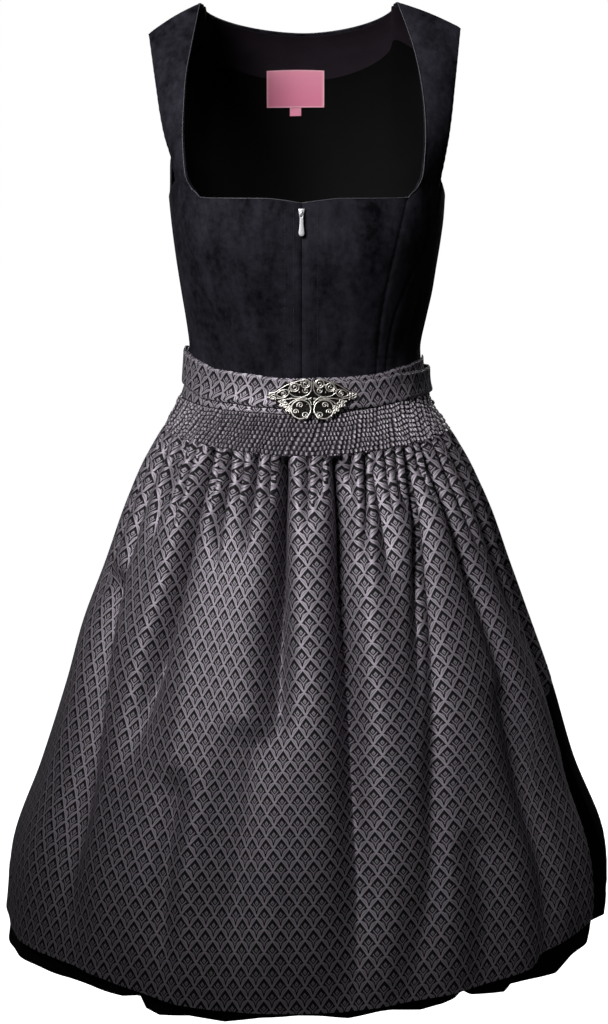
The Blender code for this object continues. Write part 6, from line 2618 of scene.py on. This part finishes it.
LAMPS = table(
    Lamp,
    ("key_light", (-0.90, -1.36, 0.75), (0.8, 0.5), 1.0, 46.0),
    ("fill_light", (1.7, -1.8, 0.5), (1.0, 1.0), 0.20, 180.0),
    ("back_light", (0.4, 1.8, 1.0), (1.2, 0.8), 9.0, 180.0),
)


@dataclass
class Studio:
    """The camera, the lights and the floor."""

    floor_finish: Material
    lens: float = 108.05
    camera_at: tuple[float, float, float] = (0.0, -3.2, -0.10)
    aim: tuple[float, float, float] = (0.0, 0.0, -0.5176)
    lit: tuple[float, float, float] = (0.04, 0.0, -0.17)
    ambient: float = 0.034
    key_power: float = 4.7
    floor_z: float = -1.25

    @staticmethod
    def aimed(data: bpy.types.ID, at: tuple, target: tuple) -> Piece:
        """Puts a camera or a lamp at a place, facing another.

        Args:
            data: the camera or the light.
            at: where it is.
            target: what it faces.

        Returns:
            The object.
        """
        thing = bpy.data.objects.new(data.name, data)
        thing.location = at
        toward = Vector(target) - Vector(at)
        thing.rotation_euler = toward.to_track_quat("-Z", "Y").to_euler()
        bpy.context.scene.collection.objects.link(thing)
        return thing

    def camera(self) -> None:
        """Places the camera as the photograph's was."""
        data = bpy.data.cameras.new("camera")
        data.lens = self.lens
        bpy.context.scene.camera = self.aimed(data, self.camera_at, self.aim)

    def light(self, lamp: Lamp) -> None:
        """Hangs a soft box that faces the dress.

        Args:
            lamp: its measures.
        """
        data = bpy.data.lights.new(lamp.name, "AREA")
        data.spread = math.radians(lamp.spread)
        data.shape = "RECTANGLE"
        data.size, data.size_y = lamp.size
        data.energy = self.key_power * lamp.share
        self.aimed(data, lamp.at, self.lit)

    def build(self) -> None:
        """Sets up the whole studio."""
        self.camera()
        for lamp in LAMPS:
            self.light(lamp)
        world = bpy.data.worlds.new("studio_sky")
        world.use_nodes = True
        tree = world.node_tree
        sky = tree.nodes["Background"]
        paper = tree.nodes.new("ShaderNodeBackground")
        paper.inputs["Color"].default_value = (1.0, 1.0, 1.0, 1.0)
        sky.inputs["Color"].default_value = (1.0, 1.0, 1.0, 1.0)
        sky.inputs["Strength"].default_value = self.ambient
        seen = tree.nodes.new("ShaderNodeLightPath")
        mixed = tree.nodes.new("ShaderNodeMixShader")
        tree.links.new(seen.outputs["Is Camera Ray"], mixed.inputs[0])
        tree.links.new(sky.outputs[0], mixed.inputs[1])
        tree.links.new(paper.outputs[0], mixed.inputs[2])
        tree.links.new(mixed.outputs[0], tree.nodes["World Output"].inputs[0])
        bpy.context.scene.world = world
        deselect()
        bpy.ops.mesh.primitive_plane_add(size=40.0, location=(0.0, 0.0, self.floor_z))
        floor = bpy.context.object
        floor.name = "floor"
        floor.data.materials.append(self.floor_finish)
        floor.visible_diffuse = False
        floor.visible_glossy = False
        bpy.context.scene.view_settings.view_transform = "Standard"


def main() -> None:
    """Builds the dress from the shoulders down, then the studio."""
    logging.basicConfig(level=logging.INFO, format="%(message)s")
    velvet, lining, jacquard = Velveteen().material(), BackLining().material(), Jacquard().material()
    black_thread, pale_thread_and_highlight = BLACK_THREAD.material(), PALE_THREAD_AND_HIGHLIGHT.material()
    inside = Bodice(velvet, lining, NECK_EDGE_THREAD_AND_HIGHLIGHT.material(), black_thread).build()
    NeckLabel(WovenLabel().material(), ROSE_THREAD.material()).build(inside)
    ZipFastener(ZIP_METAL.material(), ZIP_TAPE.material(), black_thread).build()
    band = BeltAndBand(jacquard, pale_thread_and_highlight)
    band.belt()
    band.band()
    SmockedYoke(SmockedJacquard().material(), pale_thread_and_highlight).build()
    Apron(jacquard, GREY_THREAD.material()).build()
    Skirt(SKIRT_CLOTH.material()).build()
    Clasp(SILVER_WIRE.material(), SILVER_RECESS.material()).build()
    Studio(Backdrop().material()).build()


if __name__ == "__main__":
    main()
